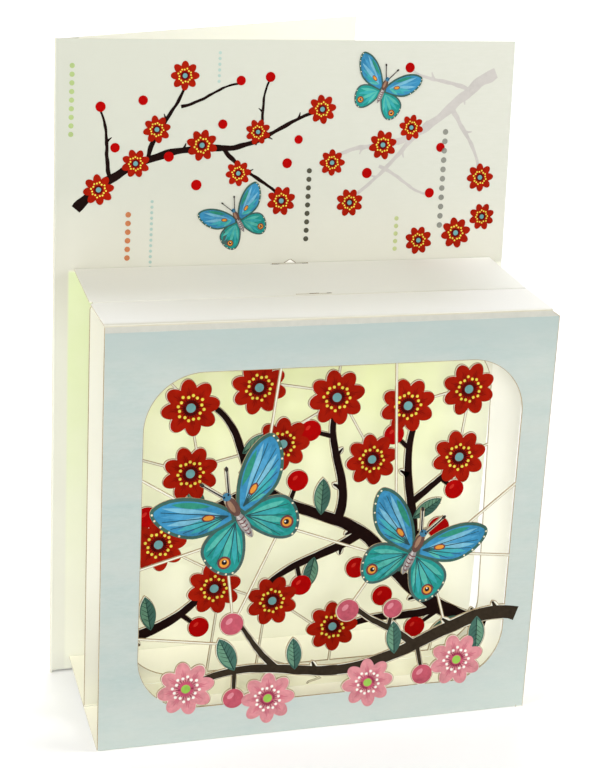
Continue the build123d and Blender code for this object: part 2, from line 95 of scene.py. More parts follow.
front_leaves = [
    (1, 0.72, -1, 12.5, 20, 2.7), (0, 0.25, 1, 12.0, 10, 2.6),
    (0, 0.72, -1, 11.5, -15, 2.4), (1, 0.30, -1, 11.0, 15, 2.3),
]
front_berries = [
    (2, 0.96, 1, 4.5, 60, 3.5), (3, 0.96, 1, 4.0, 60, 3.5),
    (0, 0.60, 1, 11.5, 10, 3.3), (1, 0.72, 1, 9.5, 5, 3.2),
    (2, 0.45, -1, 6.5, 20, 3.0),
]
front_thorns = [
    (0, 0.40, -1, 4.6, 30, 1.0), (1, 0.15, -1, 3.6, 30, 0.8), (0, 0.12, -1, 4.4, 30, 1.0),
]
front_moths = [(-28.5, 75.0, 1.22, 32.0), (29.0, 58.5, 1.12, -24.0)]

fore_wing = [((0.5, 1.6), (3.5, 9.0), (11.0, 15.5), (17.0, 14.2)),
             ((17.0, 14.2), (20.2, 13.0), (17.6, 4.6), (12.6, 1.4)),
             ((12.6, 1.4), (9.0, -0.8), (3.5, -0.8), (0.5, -0.9))]
hind_wing = [((0.5, 0.2), (5.0, 0.6), (12.0, 0.4), (13.2, -4.0)),
             ((13.2, -4.0), (14.2, -8.6), (11.2, -13.6), (8.0, -13.0)),
             ((8.0, -13.0), (4.2, -12.2), (1.6, -7.0), (0.5, -3.6))]

# ---------------------------------------------------------------- panel picture
panel_dark_stems = [
    ((-68.5, 157.0), (-60.0, 167.0), (-44.0, 176.5), (-23.0, 175.5), 1.5, 0.95),
    ((-23.0, 175.5), (-10.0, 175.0), (-3.0, 184.0), (9.0, 187.0), 0.9, 0.45),
    ((-46.0, 173.0), (-44.5, 182.0), (-37.0, 187.0), (-34.5, 196.0), 0.8, 0.4),
    ((-22.0, 175.5), (-17.0, 168.0), (-9.0, 166.0), (-3.0, 160.0), 0.75, 0.4),
    ((-58.0, 166.5), (-60.0, 174.0), (-58.0, 180.0), (-61.0, 187.0), 0.7, 0.35),
    ((-12.0, 176.6), (-8.0, 184.0), (-11.0, 190.0), (-8.0, 196.0), 0.6, 0.3),
    ((-36.0, 188.5), (-28.0, 190.0), (-24.0, 195.0), (-18.0, 195.5), 0.5, 0.3),
]
panel_dark_thorns = [
    (0, 0.20, 1, 2.4, 30, 0.5), (0, 0.48, -1, 2.6, 30, 0.5), (0, 0.80, 1, 2.4, 30, 0.5),
    (1, 0.45, -1, 2.2, 35, 0.4), (1, 0.80, 1, 2.0, 35, 0.4), (2, 0.50, 1, 2.0, 35, 0.4),
    (3, 0.45, 1, 2.0, 30, 0.4), (4, 0.55, -1, 2.0, 35, 0.4), (5, 0.50, 1, 1.8, 35, 0.35),
]
panel_pale_stems = [
    ((69.0, 199.0), (58.0, 194.0), (50.0, 181.0), (36.0, 177.0), 1.9, 1.0),
    ((36.0, 177.0), (28.0, 174.5), (22.0, 177.0), (15.0, 172.0), 1.0, 0.5),
    ((46.5, 183.0), (38.0, 176.0), (34.0, 168.0), (21.0, 159.0), 0.9, 0.45),
    ((54.0, 188.5), (58.0, 180.0), (64.0, 176.0), (65.0, 166.0), 0.85, 0.4),
    ((60.0, 193.5), (52.0, 197.0), (46.0, 196.0), (40.0, 199.5), 0.7, 0.4),
    ((30.0, 169.2), (38.0, 166.0), (42.0, 160.0), (47.0, 160.0), 0.6, 0.35),
]
panel_pale_thorns = [
    (0, 0.35, 1, 2.8, 30, 0.6), (1, 0.55, 1, 2.4, 30, 0.45), (2, 0.40, 1, 2.4, 30, 0.45),
    (3, 0.40, 1, 2.4, 30, 0.45), (4, 0.60, -1, 2.4, 30, 0.45), (2, 0.75, -1, 2.2, 30, 0.4),
]
panel_daisies = [
    (-61.5, 163.0, 4.9, 8), (-50.0, 171.0, 4.5, 20), (-35.0, 198.0, 4.6, 0),
    (-43.5, 181.5, 4.4, 12), (-29.0, 176.5, 5.0, 30), (-17.0, 167.5, 4.2, 6),
    (-2.5, 158.5, 4.8, 18), (10.0, 187.5, 4.7, 9), (-11.0, 180.5, 4.1, 26),
    (14.0, 170.5, 4.3, 0), (31.0, 176.0, 4.8, 14), (40.5, 181.5, 4.2, 33),
    (20.5, 157.5, 4.6, 22), (65.5, 165.0, 4.7, 3), (58.0, 146.8, 5.2, 12),
    (45.0, 144.6, 4.7, 28), (67.0, 152.0, 4.5, 20),
]
panel_berries = [
    (-61.2, 188.6, 1.6), (-56.5, 176.0, 1.5), (-39.5, 173.0, 1.6), (-22.5, 183.0, 1.5),
    (-17.0, 196.5, 1.5), (-7.5, 197.6, 1.6), (-1.0, 170.5, 1.6), (2.5, 178.0, 1.4),
    (26.0, 167.0, 1.7), (48.0, 160.2, 1.6), (51.0, 175.0, 1.5), (39.0, 200.6, 1.6),
    (-30.5, 164.0, 1.7), (-48.0, 190.5, 1.5),
]
panel_moths = [(30.0, 193.5, 0.62, -22.0), (-16.5, 152.5, 0.60, 28.0)]
dot_columns = [
    # x, top z, number, pitch, radius, colour
    (52.5, 180.0, 11, 3.05, 0.95, "dot_grey"), (-44.5, 159.0, 13, 1.75, 0.50, "dot_teal"),
    (-52.0, 155.0, 6, 2.75, 0.90, "dot_rust"), (-70.0, 201.0, 9, 2.60, 0.80, "dot_lime"),
    (6.5, 168.0, 9, 2.75, 0.85, "dot_dark"), (37.0, 152.0, 5, 2.50, 0.75, "dot_sage"),
    (-24.0, 205.0, 6, 1.75, 0.50, "dot_teal"),
]


# ---------------------------------------------------------------- outlines
def bez(p, s):
    """Point and left-hand unit normal of a cubic at s."""
    a, b, c, d = p
    q = 1 - s
    x = q**3*a[0] + 3*q*q*s*b[0] + 3*q*s*s*c[0] + s**3*d[0]
    z = q**3*a[1] + 3*q*q*s*b[1] + 3*q*s*s*c[1] + s**3*d[1]
    dx = q*q*(b[0]-a[0]) + 2*q*s*(c[0]-b[0]) + s*s*(d[0]-c[0])
    dz = q*q*(b[1]-a[1]) + 2*q*s*(c[1]-b[1]) + s*s*(d[1]-c[1])
    n = hypot(dx, dz)
    return (x, z), (-dz/n, dx/n)


def off_stem(stems, i, s, side, reach, lean):
    """Foot and tip of something that grows from stem i."""
    st = stems[i]
    (x, z), (nx, nz) = bez(st[:4], s)
    tx, tz = nz, -nx
    c, q = cos(radians(lean)), sin(radians(lean))
    dx, dz = side*nx*c + tx*q, side*nz*c + tz*q
    return (x, z), (x + dx*reach, z + dz*reach)


def circle(x, z, r, n=24):
    return [(x + r*cos(2*pi*i/n), z + r*sin(2*pi*i/n)) for i in range(n)]


def ellipse(x, z, a, b, turn, n=24):
    c, s = cos(turn), sin(turn)
    return [(x + a*cos(t)*c - b*sin(t)*s, z + a*cos(t)*s + b*sin(t)*c)
            for t in (2*pi*i/n for i in range(n))]


def almond(foot, tip, half, n=10):
    dx, dz = tip[0]-foot[0], tip[1]-foot[1]
    L = hypot(dx, dz)
    ux, uz = dx/L, dz/L
    nx, nz = -uz, ux
    R = (L*L/4 + half*half)/(2*half)
    pts = []
    for side in (1, -1):
        for i in range(n):
            s = i/n if side == 1 else 1 - i/n
            t = (s-0.5)*L
            h = (R*R - t*t)**0.5 - (R-half)
            pts.append((foot[0]+ux*(t+L/2)+nx*h*side, foot[1]+uz*(t+L/2)+nz*h*side))
    return pts


def bar(a, b, w0, w1=None):
    w1 = w0 if w1 is None else w1
    dx, dz = b[0]-a[0], b[1]-a[1]
    L = hypot(dx, dz)
    nx, nz = -dz/L/2, dx/L/2
    return [(a[0]+nx*w0, a[1]+nz*w0), (b[0]+nx*w1, b[1]+nz*w1),
            (b[0]-nx*w1, b[1]-nz*w1), (a[0]-nx*w0, a[1]-nz*w0)]


def ring_of(wing, n=12):
    return [bez(seg, i/n)[0] for seg in wing for i in range(n)]


def area(pts):
    return 0.5*sum(a[0]*b[1]-b[0]*a[1] for a, b in zip(pts, pts[1:]+pts[:1]))


def inset(pts, d):
    """A closed outline drawn in by d, with its corners mitred."""
    if area(pts) < 0:
        pts = pts[::-1]
    out = []
    n = len(pts)
    for i in range(n):
        a, b, c = pts[i-1], pts[i], pts[(i+1) % n]
        u = (b[0]-a[0], b[1]-a[1])
        v = (c[0]-b[0], c[1]-b[1])
        lu, lv = hypot(*u) or 1e-9, hypot(*v) or 1e-9
        n1, n2 = (-u[1]/lu, u[0]/lu), (-v[1]/lv, v[0]/lv)
        k = max(1 + n1[0]*n2[0] + n1[1]*n2[1], 0.5)
        out.append((b[0] + d*(n1[0]+n2[0])/k, b[1] + d*(n1[1]+n2[1])/k))
    return out


# ---------------------------------------------------------------- materials
def lin(c):
    return tuple(((v/255)/12.92 if v <= 10 else (((v/255)+0.055)/1.055)**2.4) for v in c) + (1.0,)


class Nodes:
    """A short hand for a material's node tree."""

    def __init__(self, name):
        self.mat = bpy.data.materials.new(name)
        self.mat.use_nodes = True
        self.tree = self.mat.node_tree
        self.shader = self.tree.nodes["Principled BSDF"]
        self.coord = self.tree.nodes.new("ShaderNodeTexCoord")
        self.geo = None

    def add(self, kind, **props):
        node = self.tree.nodes.new(kind)
        for k, v in props.items():
            setattr(node, k, v)
        return node

    def link(self, a, b):
        self.tree.links.new(a, b)

    def put(self, socket, v):
        if isinstance(v, (int, float, tuple)):
            socket.default_value = v
        else:
            self.link(v, socket)

    def scaled(self, scale):
        m = self.add("ShaderNodeMapping")
        m.inputs["Scale"].default_value = scale
        self.link(self.coord.outputs["Object"], m.inputs["Vector"])
        return m.outputs["Vector"]

    def noise(self, scale, size=1.0, detail=3.0, rough=0.55, lo=0.0, hi=1.0):
        """Noise brought from its middle range to 0..1; scale is a vector in 1/m."""
        t = self.add("ShaderNodeTexNoise")
        t.inputs["Scale"].default_value = size
        t.inputs["Detail"].default_value = detail
        t.inputs["Roughness"].default_value = rough
        self.link(self.scaled(scale), t.inputs["Vector"])
        return self.ramp(t.outputs["Fac"], 0.3, 0.7, lo, hi)

    def ramp(self, v, a, b, lo=0.0, hi=1.0, smooth=False):
        r = self.add("ShaderNodeMapRange")
        r.interpolation_type = "SMOOTHSTEP" if smooth else "LINEAR"
        for s, x in zip(("Value", "From Min", "From Max", "To Min", "To Max"), (v, a, b, lo, hi)):
            self.put(r.inputs[s], x)
        return r.outputs["Result"]

    def math(self, op, a, b=0.0, clamp=False):
        m = self.add("ShaderNodeMath", operation=op, use_clamp=clamp)
        self.put(m.inputs[0], a)
        self.put(m.inputs[1], b)
        return m.outputs[0]

    def mix(self, f, a, b):
        m = self.add("ShaderNodeMix", data_type="RGBA")
        self.put(m.inputs[0], f)
        self.put(m.inputs[6], a)
        self.put(m.inputs[7], b)
        return m.outputs[2]

    def place(self):
        """x, y, z in millimetres."""
        s = self.add("ShaderNodeSeparateXYZ")
        self.link(self.scaled((1000, 1000, 1000)), s.inputs[0])
        return s.outputs[0], s.outputs[1], s.outputs[2]

    def normal(self):
        g = self.add("ShaderNodeNewGeometry")
        s = self.add("ShaderNodeSeparateXYZ")
        self.link(g.outputs["Normal"], s.inputs[0])
        return s.outputs[0], s.outputs[1], s.outputs[2]

    def band(self, v, a, b, soft):
        """1 between a and b, with soft ends."""
        up = self.ramp(v, a-soft/2, a+soft/2, smooth=True)
        down = self.ramp(v, b-soft/2, b+soft/2, 1.0, 0.0, smooth=True)
        return self.math("MULTIPLY", up, down)

    def bump(self, height, strength, distance):
        b = self.add("ShaderNodeBump")
        b.inputs["Strength"].default_value = strength
        b.inputs["Distance"].default_value = distance
        self.link(height, b.inputs["Height"])
        self.link(b.outputs["Normal"], self.shader.inputs["Normal"])

    def finish(self, colour, roughness, spec=0.3):
        self.put(self.shader.inputs["Base Color"], colour)
        self.put(self.shader.inputs["Roughness"], roughness)
        self.shader.inputs["Specular IOR Level"].default_value = spec
        return self.mat


paper_c = lin((234, 233, 220))
paper_warm = lin((230, 228, 209))
paper_cool = lin((228, 229, 222))
burn_c = lin((176, 152, 110))
burn_dark = lin((134, 108, 70))


def fibres(n, base, warm, cool):
    """Card: cloudy warm and cool patches, long fibres and flecks."""
    cloud = n.noise((22, 22, 30), detail=4.0)
    grain = n.noise((900, 900, 2600), detail=5.0, rough=0.65)
    fleck = n.noise((5200, 5200, 5200), detail=2.0)
    c = n.mix(n.math("MULTIPLY", cloud, 0.55), base, warm)
    c = n.mix(n.math("MULTIPLY", grain, 0.35), c, cool)
    weave = n.math("ADD", n.math("MULTIPLY", grain, 0.6), n.math("MULTIPLY", fleck, 0.4))
    return c, weave


def sheet_material(name, slab=None, panel=False):
    """One folded sheet: card colour, scorched laser-cut edges, painted shade along the folds, and painted light and
    shade on the strips, frames and panel.
    """
    n = Nodes(name)
    x, y, z = n.place()
    nx, ny, nz = n.normal()
    c, weave = fibres(n, paper_c, paper_warm, paper_cool)
    across = n.math("ABSOLUTE", nx)
    flat = n.math("ABSOLUTE", ny)
    scorch = n.noise((700, 700, 700), detail=3.0)
    burn = n.mix(scorch, burn_c, burn_dark)
    side_cut = n.ramp(across, 0.6, 0.8)
    if panel:
        # print on the main panel: tinted sky above the fold, pale green below it
        front = n.math("MULTIPLY", n.ramp(ny, -0.6, -0.8), n.band(y, -20.0, -9.0, 0.5))
        bare = n.math("MULTIPLY", front, n.ramp(x, -69.9, -70.9))
        c = n.mix(n.math("MULTIPLY", bare, 0.9), c, lin((222, 222, 209)))
        printed = n.math("MULTIPLY", n.ramp(x, -70.9, -70.2), n.ramp(x, 46.0, 74.0, 1.0, 0.42, smooth=True))
        streak = n.noise((260, 260, 1500), detail=4.0)
        sky = n.mix(streak, lin((203, 204, 192)), lin((209, 209, 199)))
        sky = n.mix(n.math("MULTIPLY", n.noise((14, 14, 20), detail=3.0), 0.5), sky, lin((206, 206, 193)))
        sky = n.mix(n.ramp(x, -75.0, 70.0, 0.95, 0.30), sky, lin((193, 195, 181)))
        sky = n.mix(n.ramp(z, 170.0, 139.0, 0.0, 0.66, smooth=True), sky, lin((215, 212, 197)))
        above = n.ramp(z, 137.3, 138.1)
        beside = n.math("MAXIMUM", n.ramp(x, -70.0, -70.8), n.ramp(x, 68.6, 69.8))
        above = n.math("MAXIMUM", above, n.math("MULTIPLY", beside, n.ramp(z, 108.0, 137.5, smooth=True)))
        c = n.mix(n.math("MULTIPLY", n.math("MULTIPLY", above, front), 0.94), c, sky)
        cloud = n.noise((38, 38, 30), detail=5.0, rough=0.6)
        green = n.mix(cloud, lin((238, 246, 188)), lin((243, 248, 200)))
        outer = n.mix(cloud, lin((216, 228, 178)), lin((222, 230, 190)))
        # painted light: inside the box, behind the frames, the card and the green are lighter than where they show
        # beside the box
        green = n.mix(n.ramp(x, -62.5, -58.5, smooth=True), outer, green)
        c = n.mix(n.math("MULTIPLY", n.ramp(x, -63.0, -59.0), n.math("MULTIPLY", front, n.ramp(z, 137.0, 136.0))), c, lin((246, 245, 230)))
        fade = n.ramp(z, 8.0, 120.0, 0.10, 1.0, smooth=True)
        patch = n.noise((30, 30, 24), detail=3.0, lo=0.62, hi=1.0)
        amount = n.math("MULTIPLY", n.math("MULTIPLY", fade, patch), n.math("MULTIPLY", front, printed))
        below = n.ramp(z, 136.9, 137.9, 1.0, 0.0)
        below = n.math("MULTIPLY", below, n.math("SUBTRACT", 1.0, n.math("MULTIPLY", n.ramp(x, 68.0, 69.5), n.ramp(z, 127.0, 133.0))))
        c = n.mix(n.math("MULTIPLY", amount, below), c, green)
        top_cut = n.ramp(nz, 0.6, 0.9)
        edge = n.math("MAXIMUM", side_cut, n.math("MULTIPLY", top_cut, n.ramp(z, 206.5, 207.0)))
        c = n.mix(n.math("MULTIPLY", edge, 0.35), c, burn)
    else:
        in_slab = n.band(y, slab[0], slab[1], 0.02)
        wall = n.math("MULTIPLY", n.ramp(flat, 0.5, 0.4), in_slab)
        wall = n.math("MULTIPLY", wall, n.band(z, 3.0, 128.0, 0.1))
        # painted light: the cut walls that face left at the window's right edge get little scorch, as if lit
        paler_wall = n.math("MULTIPLY", n.ramp(nx, -0.6, -0.8), n.ramp(x, 58.0, 59.0))
        wall = n.math("MULTIPLY", wall, n.math("SUBTRACT", 1.0, n.math("MULTIPLY", paler_wall, 0.85)))
        c = n.mix(n.math("MAXIMUM", n.math("MULTIPLY", side_cut, 0.55), n.math("MULTIPLY", wall, 0.9)), c, burn)
        # the bare card of the sprays inside the window is toned a little darker
        wander = n.noise((120, 120, 120), detail=3.0)
        past = n.math("SUBTRACT", x, n.ramp(z, 11.9, 120.6, 63.05, 60.38) if slab[2] > 136.0 else 61.7)
        lace = n.math("MULTIPLY", n.ramp(past, 0.18, -0.02), n.math("MULTIPLY", n.ramp(x, -58.4, -58.2), n.band(z, 11.8, 120.7, 0.2)))
        lace = n.math("MULTIPLY", n.ramp(ny, -0.9, -0.98), lace)
        c = n.mix(n.math("MULTIPLY", lace, 0.8), c, lin((218, 216, 198)))
        # painted shade along the folds, darkest towards the right end of the middle fold, and where the top strip meets
        # the main panel
        fold_shade = n.mix(wander, lin((200, 194, 172)), lin((184, 176, 150)))
        top = n.math("MULTIPLY", n.band(z, slab[2]-0.62, slab[2]+0.8, 0.2),
                     n.band(y, slab[0]-0.6, slab[0]+0.45, 0.25))
        if slab[2] > 136.0:
            top = n.math("MULTIPLY", top, n.math("ADD", n.ramp(x, -30.0, 14.0, 0.62, 0.76, smooth=True), n.ramp(x, 34.0, 62.0, 0.0, 0.40)))
            fold_shade = n.mix(n.ramp(x, 26.0, 64.0), fold_shade, lin((152, 144, 120)))
        c = n.mix(n.math("MULTIPLY", top, 0.85), c, fold_shade)
        back = n.math("MULTIPLY", n.band(z, 137.6, 139.0, 0.3), n.band(y, -16.4, -15.0, 0.4))
        c = n.mix(n.math("MULTIPLY", back, 0.45), c, fold_shade)
        # painted light: the floor strip is given a lighter, warmer card colour
        floor = n.math("MULTIPLY", n.ramp(z, 9.0, 8.0), n.ramp(nz, 0.5, 0.8))
        c = n.mix(n.math("MULTIPLY", floor, 0.85), c, lin((246, 243, 223)))
        # painted shade: the top strip greys a little towards the main panel
        lid = n.math("MULTIPLY", n.ramp(z, 134.0, 135.0), n.ramp(nz, 0.5, 0.8))
        c = n.mix(n.math("MULTIPLY", lid, n.ramp(y, -66.0, -18.0, 0.0, 0.62)), c, lin((205, 203, 193)))
        # painted light: its rear part is lightened towards the left end of the middle fold and towards its right end
        behind = n.math("MULTIPLY", lid, n.ramp(y, -48.3, -47.3))
        before = n.math("MULTIPLY", lid, n.ramp(y, -47.3, -48.3))
        near = n.math("MULTIPLY", n.ramp(y, -34.0, -64.0, smooth=True), n.ramp(x, -50.0, 4.0, 0.92, 0.06, smooth=True))
        c = n.mix(n.math("MULTIPLY", behind, near), c, lin((246, 245, 239)))
        c = n.mix(n.math("MULTIPLY", behind, n.ramp(x, 39.0, 72.0, 0.0, 0.88, smooth=True)), c, lin((250, 250, 243)))
        # painted light: its front part is lightened from the middle fold to the front one, with a little painted shade
        # in the middle
        run = n.ramp(y, -48.3, -69.5, smooth=True)
        left = n.math("SUBTRACT", 1.0, run)
        dull = n.math("MULTIPLY", n.band(x, -34.0, 24.0, 40.0), 0.08)
        c = n.mix(n.math("MULTIPLY", before, n.math("MULTIPLY", left, dull)), c, lin((203, 202, 192)))
        first = n.math("ADD", n.ramp(x, 30.0, 58.0, 0.0, 0.70, smooth=True), n.ramp(x, -64.0, -22.0, 0.56, 0.24, smooth=True))
        last = n.math("ADD", n.ramp(x, -66.0, -30.0, 0.94, 0.60, smooth=True), n.ramp(x, 14.0, 54.0, 0.0, 0.34, smooth=True))
        white = n.math("ADD", n.math("MULTIPLY", left, first), n.math("MULTIPLY", run, last))
        c = n.mix(n.math("MULTIPLY", before, n.math("MULTIPLY", white, 0.94)), c, n.mix(n.ramp(x, -60.0, 60.0), lin((246, 245, 239)), lin((250, 249, 244))))
        # a soft beige line along the front fold, wider at its left end
        fold_line = n.math("SUBTRACT", y, n.ramp(x, -70.0, 34.0, 1.45, 0.0))
        c = n.mix(n.math("MULTIPLY", before, n.ramp(fold_line, -68.9, -69.6, 0.0, 0.5)), c, lin((228, 226, 214)))
        c = n.mix(n.math("MULTIPLY", before, n.ramp(fold_line, -70.1, -70.5, 0.0, 0.9)), c, lin((219, 216, 200)))
        # painted light: the foot of the middle frame is given a lighter, warm face
        face = n.math("MULTIPLY", n.ramp(ny, -0.9, -0.98), n.band(y, -49.5, -47.0, 0.3))
        foot = n.math("MULTIPLY", face, n.ramp(z, 16.0, 10.0))
        c = n.mix(n.math("MULTIPLY", foot, 0.9), c, lin((252, 251, 226)))
        # painted light: its face right of the window is lightened towards the foot
        side = n.math("MULTIPLY", face, n.math("MULTIPLY", n.ramp(past, -0.02, 0.18), n.ramp(z, 96.0, 40.0, 0.0, 0.66, smooth=True)))
        c = n.mix(side, c, lin((254, 253, 239)))
        # painted shade: its left margin is darkened towards the foot
        side = n.math("MULTIPLY", face, n.math("MULTIPLY", n.ramp(x, -61.0, -62.5), n.ramp(z, 60.0, 8.0, 0.0, 0.72, smooth=True)))
        c = n.mix(side, c, lin((213, 212, 198)))
    n.bump(weave, 0.35, 0.00006)
    return n.finish(c, n.ramp(weave, 0.0, 1.0, 0.72, 0.92), 0.25)


inks = {}


def ink(name, colour, depth=0.10, streak=(700, 700, 700), rough=0.66, cloud=90.0):
    """Offset ink on card: the paper's grain shows, and the tone is never quite even."""
    if name in inks:
        return inks[name]
    n = Nodes("ink_" + name)
    r, g, b = (v*0.94 for v in colour)
    dark = lin(tuple(max(0, v*(1-depth*1.3) - 2) for v in (r, g, b)))
    light = lin(tuple(min(255, v*(1+depth*0.7) + (255-v)*depth*0.10 + 1) for v in (r, g, b)))
    tone = n.noise(streak, detail=4.0, rough=0.6)
    wash = n.noise((cloud, cloud, cloud), detail=3.0)
    c = n.mix(n.math("MULTIPLY", wash, 0.8), lin((r, g, b)), dark)
    c = n.mix(n.math("MULTIPLY", tone, 0.55), c, light)
    fleck = n.noise((4200, 4200, 4200), detail=2.0)
    n.bump(fleck, 0.22, 0.00004)
    inks[name] = n.finish(c, n.ramp(tone, 0.0, 1.0, rough-0.06, rough+0.14), 0.035)
    return inks[name]


def blue_material():
    """The frame's print: pale blue with soft level streaks of green and grey."""
    n = Nodes("ink_frame_blue")
    x, y, z = n.place()
    a = n.noise((55, 55, 190), detail=5.0, rough=0.62)
    b = n.noise((35, 35, 80), detail=4.0)
    d = n.noise((420, 420, 1700), detail=4.0, rough=0.6)
    c = n.mix(a, lin((163, 180, 176)), lin((179, 187, 181)))
    c = n.mix(n.math("MULTIPLY", b, 0.45), c, lin((184, 190, 180)))
    c = n.mix(n.math("MULTIPLY", d, 0.30), c, lin((192, 200, 196)))
    # lighter towards the right and darker towards the top; painted light: lighter towards the bottom
    c = n.mix(n.ramp(x, 35.0, 70.0, 0.0, 0.12, smooth=True), c, lin((204, 213, 206)))
    c = n.mix(n.ramp(z, 26.0, 2.0, 0.0, 0.30, smooth=True), c, lin((203, 212, 204)))
    c = n.mix(n.ramp(z, 116.0, 132.0, 0.0, 0.55, smooth=True), c, lin((160, 175, 172)))
    fleck = n.noise((900, 900, 2600), detail=5.0, rough=0.65)
    n.bump(fleck, 0.30, 0.00005)
    return n.finish(c, n.ramp(d, 0.0, 1.0, 0.66, 0.86), 0.25)


def edge_material(name, a, b):
    n = Nodes(name)
    tone = n.noise((500, 500, 500), detail=3.0)
    c = n.mix(tone, lin(a), lin(b))
    fleck = n.noise((4200, 4200, 4200), detail=2.0)
    n.bump(fleck, 0.2, 0.00003)
    return n.finish(c, n.ramp(tone, 0.0, 1.0, 0.8, 0.95), 0.2)


# ---------------------------------------------------------------- films of ink
class Films:
    """Closed flat films of ink on a face that looks towards -Y, gathered in one mesh."""

    def __init__(self, name, surface):
        self.name, self.surface = name, surface
        self.v, self.f, self.m, self.mats = [], [], [], []
        self.count = 0

    def slot(self, mat):
        if mat not in self.mats:
            self.mats.append(mat)
        return self.mats.index(mat)

    def lift(self, layer):
        self.count += 1
        return film*(layer+1) + 0.0009*(self.count % 12)

    def points(self, pts, lift):
        base = len(self.v)
        for x, z in pts:
            self.v.append((x/1000, (self.surface(x, z) - lift)/1000, z/1000))
        for x, z in pts:
            self.v.append((x/1000, (self.surface(x, z) + 0.02)/1000, z/1000))
        return base

    def outline(self, pts, layer, mat):
        """One simple outline."""
        if area(pts) < 0:
            pts = pts[::-1]
        n = len(pts)
        b = self.points(pts, self.lift(layer))
        k = self.slot(mat)
        faces = [list(range(b, b+n)), list(range(b+2*n-1, b+n-1, -1))]
        faces += [[b+i, b+n+i, b+n+(i+1) % n, b+(i+1) % n] for i in range(n)]
        self.f += faces
        self.m += [k]*len(faces)

    def ribbon(self, left, right, layer, mat):
        """A strip between two lines of as many points, in quads."""
        n = len(left)
        if area(left + right[::-1]) < 0:
            left, right = right, left
        b = self.points(left + right, self.lift(layer))
        k, h = self.slot(mat), 2*n
        faces = []
        for i in range(n-1):
            faces.append([b+i, b+i+1, b+n+i+1, b+n+i])
            faces.append([b+h+i, b+h+n+i, b+h+n+i+1, b+h+i+1])
        rim = list(range(b, b+n)) + list(range(b+2*n-1, b+n-1, -1))
        for i, a in enumerate(rim):
            c = rim[(i+1) % len(rim)]
            faces.append([a, a+h, c+h, c])
        self.f += faces
        self.m += [k]*len(faces)

    def ring(self, outer, inner, layer, mat, skip=()):
        """A closed band between two loops of as many points; skip leaves steps out."""
        n = len(outer)
        run = [i for i in range(n) if i not in skip]
        k = self.slot(mat)
        if len(run) == n:
            b = self.points(outer + inner, self.lift(layer))
            h = 2*n
            for i in range(n):
                j = (i+1) % n
                quads = [[b+i, b+j, b+n+j, b+n+i], [b+h+i, b+h+n+i, b+h+n+j, b+h+j],
                         [b+i, b+h+i, b+h+j, b+j], [b+n+i, b+n+j, b+h+n+j, b+h+n+i]]
                self.f += quads
                self.m += [k]*4
            return
        # separate stretches
        todo = set(run)
        while todo:
            i = min(todo)
            while (i-1) % n in todo and (i-1) % n != min(todo):
                i = (i-1) % n
            stretch = [i]
            todo.discard(i)
            while (stretch[-1]+1) % n in todo:
                stretch.append((stretch[-1]+1) % n)
                todo.discard(stretch[-1])
            idx = stretch + [(stretch[-1]+1) % n]
            self.ribbon([outer[q] for q in idx], [inner[q] for q in idx], layer, mat)

    def make(self):
        me = bpy.data.meshes.new(self.name)
        me.from_pydata(self.v, [], self.f)
        for m in self.mats:
            me.materials.append(m)
        me.polygons.foreach_set("material_index", self.m)
        me.validate()
        me.update()
        o = bpy.data.objects.new(self.name, me)
        bpy.context.scene.collection.objects.link(o)
        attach(o, "root")
        return o


def draw_stem(films, st, layer, mat, n=26, shift=(0, 0), wave=0.07, grow=0.0):
    left, right = [], []
    for i in range(n+1):
        s = i/n
        (x, z), (nx, nz) = bez(st[:4], s)
        h = st[4] + (st[5]-st[4])*s + grow
        a = 1 + wave*sin(9.1*s*3 + st[0][0]) + 0.5*wave*sin(23.0*s*2 + st[0][1])
        c = 1 + wave*sin(7.3*s*3 + st[0][1]) + 0.5*wave*sin(19.0*s*2 + st[0][0])
        left.append((x + nx*h*a + shift[0], z + nz*h*a + shift[1]))
        right.append((x - nx*h*c + shift[0], z - nz*h*c + shift[1]))
    (x, z), (nx, nz) = bez(st[:4], 1.0)
    h = st[5] + grow
    for k in range(1, 5):
        q = radians(19*k)
        left.append((x + h*(cos(q)*nx + sin(q)*nz) + shift[0], z + h*(cos(q)*nz - sin(q)*nx) + shift[1]))
        right.append((x + h*(-cos(q)*nx + sin(q)*nz) + shift[0], z + h*(-cos(q)*nz - sin(q)*nx) + shift[1]))
    films.ribbon(left, right, layer, mat)


def draw_thorn(films, stems, th, layer, mat, shift=(0, 0)):
    foot, tip = off_stem(stems, *th[:5])
    dx, dz = tip[0]-foot[0], tip[1]-foot[1]
    L = hypot(dx, dz)
    ux, uz = dx/L, dz/L
    w = th[5]
    pts = [(foot[0]-uz*w*1.5, foot[1]+ux*w*1.5), (foot[0]+ux*L*0.6-uz*w*0.62, foot[1]+uz*L*0.6+ux*w*0.62),
           (tip[0]-uz*w*0.34, tip[1]+ux*w*0.34), (tip[0]+uz*w*0.30, tip[1]-ux*w*0.30),
           (foot[0]+ux*L*0.5+uz*w*0.70, foot[1]+uz*L*0.5-ux*w*0.70), (foot[0]+uz*w*1.5, foot[1]-ux*w*1.5)]
    films.outline([(a+shift[0], b+shift[1]) for a, b in pts], layer, mat)


